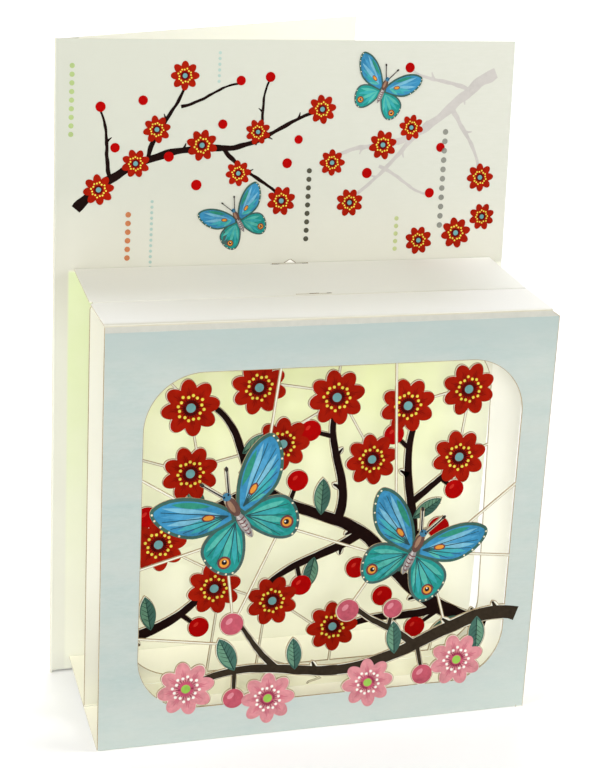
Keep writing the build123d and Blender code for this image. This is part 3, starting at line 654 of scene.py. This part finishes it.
def draw_daisy(films, x, z, R, turn, layer, petal, shade, heart, ray, disc, dot, detail=2, n=8, grow=0.0):
    """A daisy: petals with a darker fold, a dark heart with rays, dots and a disc."""
    for k in range(n):
        a = radians(turn) + 2*pi*k/n
        wob = 1 + 0.035*sin(3.7*k + x)
        cx, cz = x + 0.6*R*cos(a), z + 0.6*R*sin(a)
        films.outline(ellipse(cx, cz, 0.40*R*wob + grow, 0.262*R + grow, a, 26 if detail > 1 else 18), layer, petal)
        if detail > 1:
            for q, reach in ((-0.10, 0.70), (0.10, 0.66), (0.0, 0.80)):
                b = a + q
                films.outline(almond((x + 0.30*R*cos(b), z + 0.30*R*sin(b)),
                                     (x + reach*R*cos(b), z + reach*R*sin(b)), 0.022*R, 4), layer+1, shade)
    films.outline(circle(x, z, 0.285*R, 24 if detail > 1 else 14), layer+2, heart)
    if detail > 1:
        for k in range(3*n):
            a = radians(turn) + 2*pi*(k+0.5)/(3*n)
            r1 = R*(0.40 + 0.06*sin(2.1*k + z))
            films.outline(bar((x + 0.2*R*cos(a), z + 0.2*R*sin(a)), (x + r1*cos(a), z + r1*sin(a)),
                              0.045*R, 0.022*R), layer+2, ray)
    for k in range(2*n):
        a = radians(turn) + 2*pi*(k+0.25)/(2*n)
        r1 = R*(0.47 if k % 2 else 0.40) + R*0.02*sin(1.7*k + x)
        films.outline(circle(x + r1*cos(a), z + r1*sin(a), R*(0.056 if detail > 1 else 0.062), 10 if detail > 1 else 7),
                      layer+3, dot)
    films.outline(circle(x, z, 0.165*R, 20 if detail > 1 else 12), layer+4, disc)


def draw_moth(films, x, z, size, turn, layer, detail=2):
    """A butterfly with open wings: dark borders, coloured fields, cells, veins and spots."""
    ca, sa = cos(radians(turn)), sin(radians(turn))

    def put(pts, side=1):
        return [(x + size*(side*px*ca - pz*sa), z + size*(side*px*sa + pz*ca)) for px, pz in pts]

    for side in (1, -1):
        hind, fore = ring_of(hind_wing), ring_of(fore_wing)
        films.outline(put(hind, side), layer, ink("wing_slate", (70, 96, 92), 0.16))
        films.outline(put(inset(hind, 0.75), side), layer+1, ink("wing_teal", (38, 146, 138), 0.20))
        for tip, half, key in (((11.6, -3.6), 0.85, "cell_teal"), ((11.6, -6.4), 0.85, "cell_sea"),
                               ((9.9, -9.2), 0.80, "cell_teal"), ((7.4, -11.0), 0.75, "cell_sea"),
                               ((4.8, -9.6), 0.65, "cell_teal")):
            col = {"cell_teal": (84, 178, 164), "cell_sea": (58, 162, 166)}[key]
            films.outline(put(almond((2.2, -1.6), tip, half, 8 if detail > 1 else 5), side), layer+2, ink(key, col, 0.16))
        if detail > 1:
            for tip in ((12.0, -4.9), (11.2, -8.0), (8.9, -10.6), (6.2, -11.0)):
                films.outline(put(bar((1.6, -1.2), tip, 0.30, 0.16), side), layer+3, ink("vein", (44, 74, 78), 0.10))
        films.outline(put(circle(9.3, -8.9, 1.75, 18), side), layer+4, ink("eye_maroon", (112, 58, 60), 0.14))
        films.outline(put(circle(9.3, -8.9, 1.25, 16), side), layer+5, ink("eye_orange", (226, 150, 58), 0.14))
        films.outline(put(circle(9.2, -8.8, 0.70, 14), side), layer+6, ink("eye_dark", (34, 30, 34), 0.06))
        films.outline(put(circle(8.98, -8.55, 0.24, 8), side), layer+7, ink("white", (244, 242, 232), 0.04))
        for s in (0.10, 0.30, 0.50, 0.70, 0.90):
            (px, pz), (mx, mz) = bez(hind_wing[1], s)
            films.outline(put(circle(px + mx*-0.42, pz + mz*-0.42, 0.27, 8), side), layer+1, ink("cream", (232, 222, 190), 0.06))

        films.outline(put(fore, side), layer+8, ink("wing_pine", (62, 98, 88), 0.16))
        films.outline(put(inset(fore, 0.85), side), layer+9, ink("wing_blue", (58, 136, 178), 0.22))
        for tip, half, key in (((14.8, 13.0), 0.75, "cell_sky"), ((16.2, 11.2), 0.85, "cell_blue"),
                               ((16.2, 8.4), 0.90, "cell_sky"), ((14.8, 5.6), 0.85, "cell_aqua"),
                               ((12.4, 3.0), 0.80, "cell_sea"), ((8.6, 0.9), 0.60, "cell_teal")):
            col = {"cell_sky": (118, 180, 204), "cell_blue": (76, 152, 192), "cell_aqua": (70, 168, 178),
                   "cell_sea": (58, 162, 166), "cell_teal": (84, 178, 164)}[key]
            films.outline(put(almond((3.0, 2.0), tip, half, 8 if detail > 1 else 5), side), layer+10, ink(key, col, 0.16))
        if detail > 1:
            for tip in ((15.6, 12.2), (16.6, 9.8), (15.8, 7.0), (13.8, 4.2), (10.8, 1.8)):
                films.outline(put(bar((2.2, 1.4), tip, 0.32, 0.16), side), layer+11, ink("vein", (44, 74, 78), 0.10))
        films.outline(put(almond((4.6, 6.2), (12.4, 12.4), 0.80, 8), side), layer+12, ink("wing_green", (50, 140, 115), 0.16))
        films.outline(put(ellipse(6.6, 3.9, 1.75, 0.95, radians(28), 16), side), layer+12, ink("eye_maroon", (112, 58, 60), 0.14))
        films.outline(put(ellipse(6.6, 3.9, 1.30, 0.62, radians(28), 16), side), layer+13, ink("eye_orange", (226, 150, 58), 0.14))
        for s in (0.16, 0.32, 0.48, 0.64, 0.80):
            (px, pz), (mx, mz) = bez(fore_wing[1], s)
            films.outline(put(circle(px + mx*-0.46, pz + mz*-0.46, 0.29, 8), side), layer+9, ink("cream", (232, 222, 190), 0.06))

        # feelers
        stalk = bar((0.45*1.0, 5.6), (3.5, 12.1), 0.42, 0.30)
        films.outline(put(stalk, side), layer+12, ink("feeler", (58, 52, 50), 0.08))
        films.outline(put(ellipse(3.55, 12.3, 0.70, 0.42, radians(64), 12), side), layer+13, ink("feeler", (58, 52, 50), 0.08))
    # body
    films.outline(put(almond((0.0, 1.6), (0.0, -7.2), 1.25, 10)), layer+14, ink("body_grey", (150, 146, 144), 0.14))
    films.outline(put(almond((-0.35, 1.2), (-0.1, -6.2), 0.42, 6)), layer+15, ink("body_pale", (196, 190, 184), 0.10))
    for k in range(5):
        pz = -0.9 - 1.12*k
        w = 1.05 - 0.13*k
        films.outline(put([(-w, pz), (0, pz-0.32), (w, pz), (w*0.94, pz-0.34), (0, pz-0.66), (-w*0.94, pz-0.34)]),
                      layer+16, ink("eye_maroon", (112, 58, 60), 0.14))
    films.outline(put(ellipse(0, 2.8, 2.9, 1.42, pi/2, 22)), layer+15, ink("thorax", (104, 74, 66), 0.16))
    films.outline(put(ellipse(-0.3, 3.1, 1.9, 0.62, pi/2, 14)), layer+16, ink("thorax_light", (158, 122, 98), 0.14))
    films.outline(put(circle(0, 5.95, 1.08, 18)), layer+17, ink("head_blue", (66, 122, 152), 0.16))
    films.outline(put(circle(-0.62, 6.25, 0.30, 8)), layer+18, ink("eye_dark", (34, 30, 34), 0.06))
    films.outline(put(circle(0.62, 6.25, 0.30, 8)), layer+18, ink("eye_dark", (34, 30, 34), 0.06))


def draw_leaf(films, foot, tip, half, layer, dark, light, vein):
    films.outline(almond(foot, tip, half, 12), layer, dark)
    dx, dz = tip[0]-foot[0], tip[1]-foot[1]
    L = hypot(dx, dz)
    ux, uz = dx/L, dz/L
    a = (foot[0]+ux*L*0.10 - uz*half*0.08, foot[1]+uz*L*0.10 + ux*half*0.08)
    b = (foot[0]+ux*L*0.92 - uz*half*0.05, foot[1]+uz*L*0.92 + ux*half*0.05)
    pts = almond(a, b, half*0.80, 12)
    m = len(pts)//2
    films.outline(pts[:m+1], layer+1, light)
    films.outline(bar((foot[0]+ux*L*0.04, foot[1]+uz*L*0.04), (foot[0]+ux*L*0.95, foot[1]+uz*L*0.95), 0.34, 0.14), layer+2, vein)
    for k in range(1, 6):
        s = 0.14 + 0.13*k
        px, pz = foot[0]+ux*L*s, foot[1]+uz*L*s
        w = half*0.72*(1 - (2*s-1)**2)**0.5
        for side in (1, -1):
            films.outline(bar((px, pz), (px + ux*w*0.9 - side*uz*w, pz + uz*w*0.9 + side*ux*w), 0.20, 0.10), layer+2, vein)


# ---------------------------------------------------------------- faces of the sheets
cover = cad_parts["cover_sheet"]
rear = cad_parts["rear_box_sheet"]
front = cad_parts["front_box_sheet"]

tree = BVHTree.FromPolygons([tuple(v.co) for v in cover.data.vertices],
                            [tuple(p.vertices) for p in cover.data.polygons])


def on_front(x, z):
    return front_y


def on_mid(x, z):
    return mid_y


def on_panel(x, z):
    hit = tree.ray_cast(Vector((x/1000, -0.2, z/1000)), Vector((0, 1, 0)))
    return hit[0].y*1000 if hit[0] is not None else panel_y


def cut_loops(node, y0):
    """The outlines of a node's front face: loops of (x, z) with card on their left."""
    me = node.data
    nxt = {}
    edges = {}
    for p in me.polygons:
        if p.normal.y > -0.999 or any(abs(me.vertices[i].co.y*1000 - y0) > 0.004 for i in p.vertices):
            continue
        ks = [(round(me.vertices[i].co.x*1e6), round(me.vertices[i].co.z*1e6)) for i in p.vertices]
        for a, b in zip(ks, ks[1:]+ks[:1]):
            if a == b:
                continue
            if (b, a) in edges:
                del edges[(b, a)]
            else:
                edges[(a, b)] = 1
    for a, b in edges:
        nxt.setdefault(a, []).append(b)
    loops = []
    while nxt:
        a = min(nxt)
        loop = [a]
        while True:
            b = nxt[loop[-1]].pop(0)
            if not nxt[loop[-1]]:
                del nxt[loop[-1]]
            if b == a or b not in nxt:
                break
            loop.append(b)
        loops.append([(x/1000, z/1000) for x, z in loop])
    out = []
    for loop in loops:
        keep = []
        for p in loop:
            if not keep or hypot(p[0]-keep[-1][0], p[1]-keep[-1][1]) > 0.03:
                keep.append(p)
        if len(keep) > 2 and hypot(keep[0][0]-keep[-1][0], keep[0][1]-keep[-1][1]) <= 0.03:
            keep.pop()
        if len(keep) > 2:
            out.append(keep)
    return out


def inward(loop, d):
    """The same loop moved to its left by d, which is into the card."""
    out, n = [], len(loop)
    for i in range(n):
        a, b, c = loop[i-1], loop[i], loop[(i+1) % n]
        u = (b[0]-a[0], b[1]-a[1])
        v = (c[0]-b[0], c[1]-b[1])
        lu, lv = hypot(*u), hypot(*v)
        n1, n2 = (-u[1]/lu, u[0]/lu), (-v[1]/lv, v[0]/lv)
        k = max(1 + n1[0]*n2[0] + n1[1]*n2[1], 0.55)
        out.append((b[0] + d*(n1[0]+n2[0])/k, b[1] + d*(n1[1]+n2[1])/k))
    return out


# ---------------------------------------------------------------- the card's own sheets
for node, mat in ((cover, sheet_material("card_cover", panel=True)),
                  (rear, sheet_material("card_rear_box", slab=(-47.8, -47.36, 136.4))),
                  (front, sheet_material("card_front_box", slab=(-70.4, -69.96, 135.9)))):
    if not node.material_slots:
        node.data.materials.append(mat)
    for s in node.material_slots:
        s.material = mat

# ---------------------------------------------------------------- blue print of the front frame
blue = Films("front_blue_print", on_front)
xl, xr, zb, zt = -70.10, 71.34, 0.30, 133.55


def rounded(l, r, b, t, rad, n=16):
    pts = []
    for cx, cz, a0 in ((r-rad, b+rad, -90), (r-rad, t-rad, 0), (l+rad, t-rad, 90), (l+rad, b+rad, 180)):
        for i in range(n+1):
            a = radians(a0 + 90*i/n)
            pts.append((cx + rad*cos(a), cz + rad*sin(a)))
    return pts


hole = rounded(*win[:4], win[4])
outer = []
cx, cz = (win[0]+win[1])/2, (win[2]+win[3])/2
for px, pz in hole:
    # the frame's edge, met by a ray from the window's middle
    dx, dz = px-cx, pz-cz
    k = min([(xr-cx)/dx if dx > 1e-9 else 1e9, (xl-cx)/dx if dx < -1e-9 else 1e9,
             (zt-cz)/dz if dz > 1e-9 else 1e9, (zb-cz)/dz if dz < -1e-9 else 1e9])
    outer.append((cx + dx*k, cz + dz*k))
for corner in ((xl, zb), (xr, zb), (xr, zt), (xl, zt)):
    i = min(range(len(outer)), key=lambda q: hypot(outer[q][0]-corner[0], outer[q][1]-corner[1]))
    outer[i] = corner
blue.ring(outer, hole, 0, blue_material())
blue.make()

# a beige band along the top of the front face, darker than the bare card
margin = edge_material("beige_margin_band", (185, 185, 175), (192, 191, 181))
beige = Films("front_top_margin", on_front)
upper = [(xl + (68.7-xl)*i/24, 135.32) for i in range(25)] + [(xr-0.1, zt + 0.18), (xr, zt + 0.06)]
lower = [(x, zt + 0.04*sin(0.31*x)) for x, z in upper]
beige.ribbon(upper, lower, 0, margin)
beige.make()

# ---------------------------------------------------------------- prints on the sprays
stem_dark = ink("stem_dark", (26, 10, 8), 0.25, (900, 900, 900))
stem_olive = ink("stem_olive", (50, 41, 30), 0.20, (900, 900, 900))
red = ink("petal_red", (164, 24, 4), 0.14)
red_shade = ink("petal_red_shade", (134, 14, 3), 0.12)
berry_red = ink("berry_red", (178, 1, 1), 0.10)
berry_light = ink("berry_light", (208, 44, 34), 0.10)
heart = ink("heart", (92, 8, 6), 0.15)
ray = ink("ray", (58, 4, 4), 0.10)
disc_teal = ink("disc_teal", (112, 164, 166), 0.12)
yellow = ink("dot_yellow", (240, 222, 84), 0.08)
pink = ink("petal_pink", (214, 140, 146), 0.16)
pink_shade = ink("petal_pink_shade", (198, 106, 122), 0.12)
berry_pink = ink("berry_pink", (190, 86, 102), 0.18)
berry_pink_light = ink("berry_pink_light", (218, 136, 148), 0.12)
heart_pink = ink("heart_pink", (196, 84, 112), 0.12)
ray_pink = ink("ray_pink", (120, 40, 60), 0.10)
disc_lime = ink("disc_lime", (150, 196, 82), 0.12)
white = ink("white", (244, 242, 232), 0.04)
leaf_dark = ink("leaf_dark", (66, 104, 92), 0.16)
leaf_light = ink("leaf_light", (104, 148, 122), 0.16)
leaf_vein = ink("leaf_vein", (38, 62, 56), 0.10)

reg = (0.14, -0.11)         # how far the ink lies off the cut, right and down
back_grow, fore_grow = 0.24, 0.12   # how far it runs out towards the cut


def moved(p):
    return (p[0]+reg[0], p[1]+reg[1])


back_print = Films("rear_motif_print", on_mid)
for st in rear_stems:
    draw_stem(back_print, st, 1, stem_dark, shift=reg, wave=0.05, grow=back_grow-0.05)
for th in rear_thorns:
    draw_thorn(back_print, rear_stems, th, 1, stem_dark, shift=reg)
for lf in rear_leaves:
    foot, tip = off_stem(rear_stems, *lf[:5])
    draw_leaf(back_print, moved(foot), moved(tip), lf[5]+back_grow, 2, leaf_dark, leaf_light, leaf_vein)
for be in rear_berries:
    foot, tip = off_stem(rear_stems, *be[:5])
    back_print.outline(bar(moved(foot), moved(tip), 1.55, 1.15), 1, stem_dark)
    bx, bz = moved(tip)
    back_print.outline(circle(bx, bz, be[5]+back_grow, 30), 5, berry_red)
    back_print.outline(ellipse(bx-0.9, bz+1.0, 1.0, 0.55, radians(45), 14), 6, berry_light)
for x, z, R, turn in rear_daisies:
    bx, bz = moved((x, z))
    draw_daisy(back_print, bx, bz, R, turn, 7, red, red_shade, heart, ray, disc_teal, yellow, grow=back_grow)
back_print.make()

fore_print = Films("front_motif_print", on_front)
for st in front_stems:
    draw_stem(fore_print, st, 1, stem_olive, wave=0.05, grow=fore_grow)
for th in front_thorns:
    draw_thorn(fore_print, front_stems, th, 1, stem_olive)
for lf in front_leaves:
    foot, tip = off_stem(front_stems, *lf[:5])
    draw_leaf(fore_print, foot, tip, lf[5]+fore_grow, 2, leaf_dark, leaf_light, leaf_vein)
for be in front_berries:
    foot, tip = off_stem(front_stems, *be[:5])
    fore_print.outline(bar(foot, tip, 1.4, 1.05), 1, stem_olive)
    fore_print.outline(circle(tip[0], tip[1], be[5]+fore_grow, 30), 5, berry_pink)
    fore_print.outline(ellipse(tip[0]-0.9, tip[1]+1.0, 1.3, 0.8, radians(45), 14), 6, berry_pink_light)
for x, z, R, turn in front_daisies:
    draw_daisy(fore_print, x, z, R, turn, 7, pink, pink_shade, heart_pink, ray_pink, disc_lime, white, grow=fore_grow)
for x, z, size, turn in front_moths:
    draw_moth(fore_print, x, z, size, turn, 7)
fore_print.make()

# ---------------------------------------------------------------- print on the main panel
branch_pale = ink("branch_pale", (200, 195, 189), 0.05)
panel_print = Films("panel_motif_print", on_panel)
for st in panel_pale_stems:
    draw_stem(panel_print, st, 1, branch_pale, n=34, wave=0.14)
for th in panel_pale_thorns:
    draw_thorn(panel_print, panel_pale_stems, th, 1, branch_pale)
for st in panel_dark_stems:
    draw_stem(panel_print, st, 2, stem_dark, n=34, wave=0.14)
for th in panel_dark_thorns:
    draw_thorn(panel_print, panel_dark_stems, th, 2, stem_dark)
for x, z, r in panel_berries:
    panel_print.outline(circle(x, z, r, 18), 3, berry_red)
for x, z, R, turn in panel_daisies:
    draw_daisy(panel_print, x, z, R, turn, 4, red, red_shade, heart, ray, disc_teal, yellow, detail=1)
for x, z, size, turn in panel_moths:
    draw_moth(panel_print, x, z, size, turn, 6, detail=1)
panel_print.make()

dot_inks = {
    "dot_grey": ink("dot_grey", (146, 146, 136), 0.10), "dot_teal": ink("dot_teal", (178, 204, 194), 0.08),
    "dot_rust": ink("dot_rust", (204, 128, 84), 0.12), "dot_lime": ink("dot_lime", (176, 196, 130), 0.10),
    "dot_dark": ink("dot_dark", (84, 82, 68), 0.12), "dot_sage": ink("dot_sage", (196, 206, 146), 0.10),
}
dots = Films("panel_dot_columns", on_panel)
for x, z, count, pitch, r, key in dot_columns:
    for k in range(count):
        dots.outline(circle(x - 0.012*k*pitch, z - k*pitch, r, 14), 3, dot_inks[key])
dots.make()

# ---------------------------------------------------------------- scorched cut edges
scorched = edge_material("scorched_edge", (146, 124, 88), (177, 159, 124))
for name, node, y0, surface, width in (("front_cut_edges", front, front_y, on_front, 0.17),
                                       ("rear_cut_edges", rear, mid_y, on_mid, 0.17)):
    lines = Films(name, surface)
    for loop in cut_loops(node, y0):
        n = len(loop)
        inner = inward(loop, width)
        skip = []
        for i, p in enumerate(loop):
            q = loop[(i+1) % n]
            level = abs(p[1]-q[1]) < 0.3*abs(p[0]-q[0])
            if level and ((abs(p[0]-q[0]) > 20 and not win[2]-1 < p[1] < win[3]+1)
                          or min(p[1], q[1]) < 1.2 or max(p[1], q[1]) > 134.6):
                skip.append(i)
            elif node is rear and min(p[0], q[0]) > 71.5:
                skip.append(i)
        lines.ring(loop, inner, 0.5, scorched, skip)
    lines.make()

# ---------------------------------------------------------------- scorched lock cuts, with painted shadow in the slits and a painted highlight on the tongue
def level_of(heights, depth):
    """Height of a strip's upper face at a depth in front of the main panel."""
    i = 0 if depth < depths[1] else 1
    s = (depth-depths[i])/(depths[i+1]-depths[i])
    return heights[i] + (heights[i+1]-heights[i])*s


def slit_burns_and_shadows():
    """Thin burnt bands round the two slits in the top strip and the arrow cut in the floor; the rear slit's band is
    also painted shadow of its gap, and dark blots at the slits' ends are painted shadow.
    """
    verts, faces, which = [], [], []

    def band(fine, width, put, kind):
        n = len(fine)
        b = len(verts)
        rings = [inset(fine, -width), inset(fine, -0.015)]
        for lift in (0.022, -0.05):
            for ring in rings:
                verts.extend(put(u, v, lift) for u, v in ring)
        for i in range(n):
            j = (i+1) % n
            o, q, u, v = b, b+n, b+2*n, b+3*n
            faces.extend([[o+i, o+j, q+j, q+i], [u+i, v+i, v+j, u+j],
                          [o+i, u+i, u+j, o+j], [q+i, q+j, v+j, v+i]])
            which.extend([kind]*4)

    def fine_of(loop, turned=False):
        if (area(loop) < 0) != turned:
            loop = loop[::-1]
        out = []
        for (ax, ay), (bx, by) in zip(loop, loop[1:]+loop[:1]):
            steps = max(1, int(hypot(bx-ax, by-ay)/0.8))
            out += [(ax+(bx-ax)*i/steps, ay+(by-ay)*i/steps) for i in range(steps)]
        return out

    def lay(heights):
        return lambda x, y, lift: (x/1000, (panel_y+y)/1000, (level_of(heights, -y)+lift)/1000)

    def slot_of(x, y, half, gap):
        return [(x-half, y-gap), (x+half, y-gap), (x+half, y+gap), (x-half, y+gap)]

    top, floor = lay(top_z), lay(floor_z)
    # burnt rim and painted shadow of the gap round the rear slit
    band(fine_of(slot_of(1.0, -1.1, 5.7, 0.25)), 0.26, top, 1)
    band(fine_of(slot_of(-0.4, -30.9, 5.7, 0.12)), 0.10, top, 0)
    band(fine_of([(-3.2, -15.3), (0.6, -18.8), (-3.0, -21.3), (-2.6, -23.3),
                  (-2.1, -23.2), (-2.4, -21.4), (1.4, -18.7), (-2.9, -14.9)]), 0.20, floor, 0)
    # painted shadow: dark blots at the slits' ends and where the middle slit gapes
    for x, y, w, d, put in ((-4.1, -1.45, 1.5, 0.34, top), (5.9, -1.4, 1.0, 0.30, top),
                            (-0.2, -30.55, 1.5, 0.20, top), (4.6, -30.6, 0.75, 0.22, top)):
        blot = [(x + w*cos(a)*(1+0.14*sin(3*a)), y + d*sin(a)*(1+0.2*cos(2*a))) for a in (2*pi*k/18 for k in range(18))]
        b = len(verts)
        for lift in (0.034, -0.05):
            verts.extend(put(u, v, lift) for u, v in blot)
        faces.append([b+k for k in range(18)])
        faces.append([b+35-k for k in range(18)])
        faces.extend([[b+k, b+18+k, b+18+(k+1) % 18, b+(k+1) % 18] for k in range(18)])
        which.extend([2]*20)
    me = bpy.data.meshes.new("lock_cut_edges")
    me.from_pydata(verts, [], faces)
    for mat in (edge_material("scorched_lock", (132, 110, 70), (166, 144, 102)),
                edge_material("slit_burn_and_shadow", (104, 82, 44), (146, 120, 72)),
                edge_material("painted_slit_shadow", (58, 42, 20), (92, 70, 36))):
        me.materials.append(mat)
    me.polygons.foreach_set("material_index", which)
    me.validate()
    me.update()
    o = bpy.data.objects.new("lock_cut_edges", me)
    bpy.context.scene.collection.objects.link(o)
    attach(o, "root")


def arrow_scorch():
    """The burnt rim of the arrow cut in the tab on the middle frame's foot."""
    loop = [(3.9, 8.25), (7.6, 5.85), (4.2, 5.0), (3.75, 4.35), (4.1, 4.2),
            (4.45, 4.65), (8.6, 5.7), (4.2, 8.55)]
    if area(loop) < 0:
        loop = loop[::-1]
    fine = []
    for (ax, az), (bx, bz) in zip(loop, loop[1:]+loop[:1]):
        steps = max(1, int(hypot(bx-ax, bz-az)/0.8))
        fine += [(ax+(bx-ax)*i/steps, az+(bz-az)*i/steps) for i in range(steps)]
    rim = Films("arrow_cut_edge", lambda x, z: mid_y - 0.4)
    rim.ring(inset(fine, -0.15), inset(fine, -0.015), 0.5, edge_material("scorched_arrow", (120, 98, 58), (152, 128, 84)))
    rim.make()


def tongue_rim_and_highlight():
    """The small tongue that stands up out of the rear slit: a dark rim that is burnt edge and painted shadow, and a
    painted highlight on its face.
    """
    rim = Films("tongue_cut_edge", lambda x, z: panel_y - 0.4)
    upper = [(-0.95, 138.45), (0.0, 139.0), (0.92, 139.57), (1.38, 139.57), (2.3, 138.97), (3.15, 138.4)]
    lower = [(-0.62, 138.45), (0.1, 138.87), (0.95, 139.42), (1.35, 139.42), (2.15, 138.84), (2.82, 138.4)]
    rim.ribbon(upper, lower, 0.5, edge_material("tongue_burn_and_shadow", (92, 70, 38), (124, 98, 58)))
    # painted highlight: the tongue's face is whiter than the card
    rim.outline([(2.78, 138.38), (2.1, 138.84), (1.34, 139.4), (0.96, 139.4), (0.14, 138.86), (-0.58, 138.42)],
                0.2, edge_material("painted_tongue_highlight", (252, 250, 240), (253, 252, 246)))
    rim.make()


arrow_scorch()
slit_burns_and_shadows()
tongue_rim_and_highlight()

# ---------------------------------------------------------------- floor, light and camera
def stage_floor():
    n = Nodes("studio_floor")
    tone = n.noise((3, 3, 3), detail=2.0)
    c = n.mix(tone, lin((251, 251, 250)), lin((253, 253, 252)))
    n.bump(n.noise((900, 900, 900), detail=2.0), 0.03, 0.0001)
    mat = n.finish(c, 0.9, 0.1)
    n.shader.inputs["Emission Color"].default_value = (1.0, 1.0, 0.99, 1.0)
    n.shader.inputs["Emission Strength"].default_value = 0.07
    me = bpy.data.meshes.new("studio_floor")
    s = 9.0
    me.from_pydata([(-s, -s, 0), (s, -s, 0), (s, s, 0), (-s, s, 0)], [], [(0, 1, 2, 3)])
    me.materials.append(mat)
    o = bpy.data.objects.new("studio_floor", me)
    bpy.context.scene.collection.objects.link(o)


stage_floor()

scene = bpy.context.scene
world = bpy.data.worlds.new("studio")
world.use_nodes = True
wt = world.node_tree
coord = wt.nodes.new("ShaderNodeTexCoord")
split = wt.nodes.new("ShaderNodeSeparateXYZ")
level = wt.nodes.new("ShaderNodeMapRange")
level.interpolation_type = "SMOOTHSTEP"
for s, v in (("From Min", 0.16), ("From Max", 0.45), ("To Min", 0.74), ("To Max", 0.24)):
    level.inputs[s].default_value = v
wt.links.new(coord.outputs["Generated"], split.inputs[0])
wt.links.new(split.outputs[2], level.inputs["Value"])
wt.nodes["Background"].inputs["Color"].default_value = (1.0, 1.0, 1.0, 1.0)
wt.links.new(level.outputs["Result"], wt.nodes["Background"].inputs["Strength"])
scene.world = world


def soft_light(name, at, to, size, power):
    data = bpy.data.lights.new(name, "AREA")
    data.shape = "SQUARE"
    data.size = size
    data.energy = power
    o = bpy.data.objects.new(name, data)
    o.location = at
    o.rotation_euler = (Vector(to) - Vector(at)).to_track_quat("-Z", "Y").to_euler()
    scene.collection.objects.link(o)


soft_light("key", (-0.64, -2.02, 0.78), (0.0, -0.04, 0.09), 0.55, 13.9)
soft_light("low", (-0.12, -1.72, 0.13), (0.0, -0.05, 0.06), 0.5, 1.2)
soft_light("left", (-1.55, -0.45, 0.80), (0.0, -0.05, 0.03), 0.8, 16.5)
soft_light("right", (1.60, -0.45, 0.80), (0.0, -0.05, 0.03), 0.8, 18.5)
soft_light("overhead", (0.0, 0.3, 2.6), (0.0, 0.3, 0.0), 3.0, 6.0)
soft_light("backdrop", (0.0, 3.2, 2.4), (0.0, 2.5, 0.0), 3.5, 56.0)
soft_light("rear", (0.75, 2.0, 1.0), (0.0, 0.05, 0.1), 1.0, 12.0)

cam_data = bpy.data.cameras.new("camera")
cam_data.sensor_width = 36.0
cam_data.sensor_fit = "AUTO"
cam_data.lens = 85.90
cam_data.shift_x = -0.0014
cam_data.shift_y = -0.0028
cam_data.clip_start = 0.02
cam_data.clip_end = 60.0
cam = bpy.data.objects.new("camera", cam_data)
cam.location = (-0.17237, -0.56108, 0.28306)
cam.rotation_euler = (radians(72.09), radians(-2.89), radians(-17.43))
scene.collection.objects.link(cam)
scene.camera = cam

scene.view_settings.view_transform = "Standard"
scene.view_settings.look = "None"
scene.view_settings.exposure = 0.0
scene.view_settings.gamma = 1.0
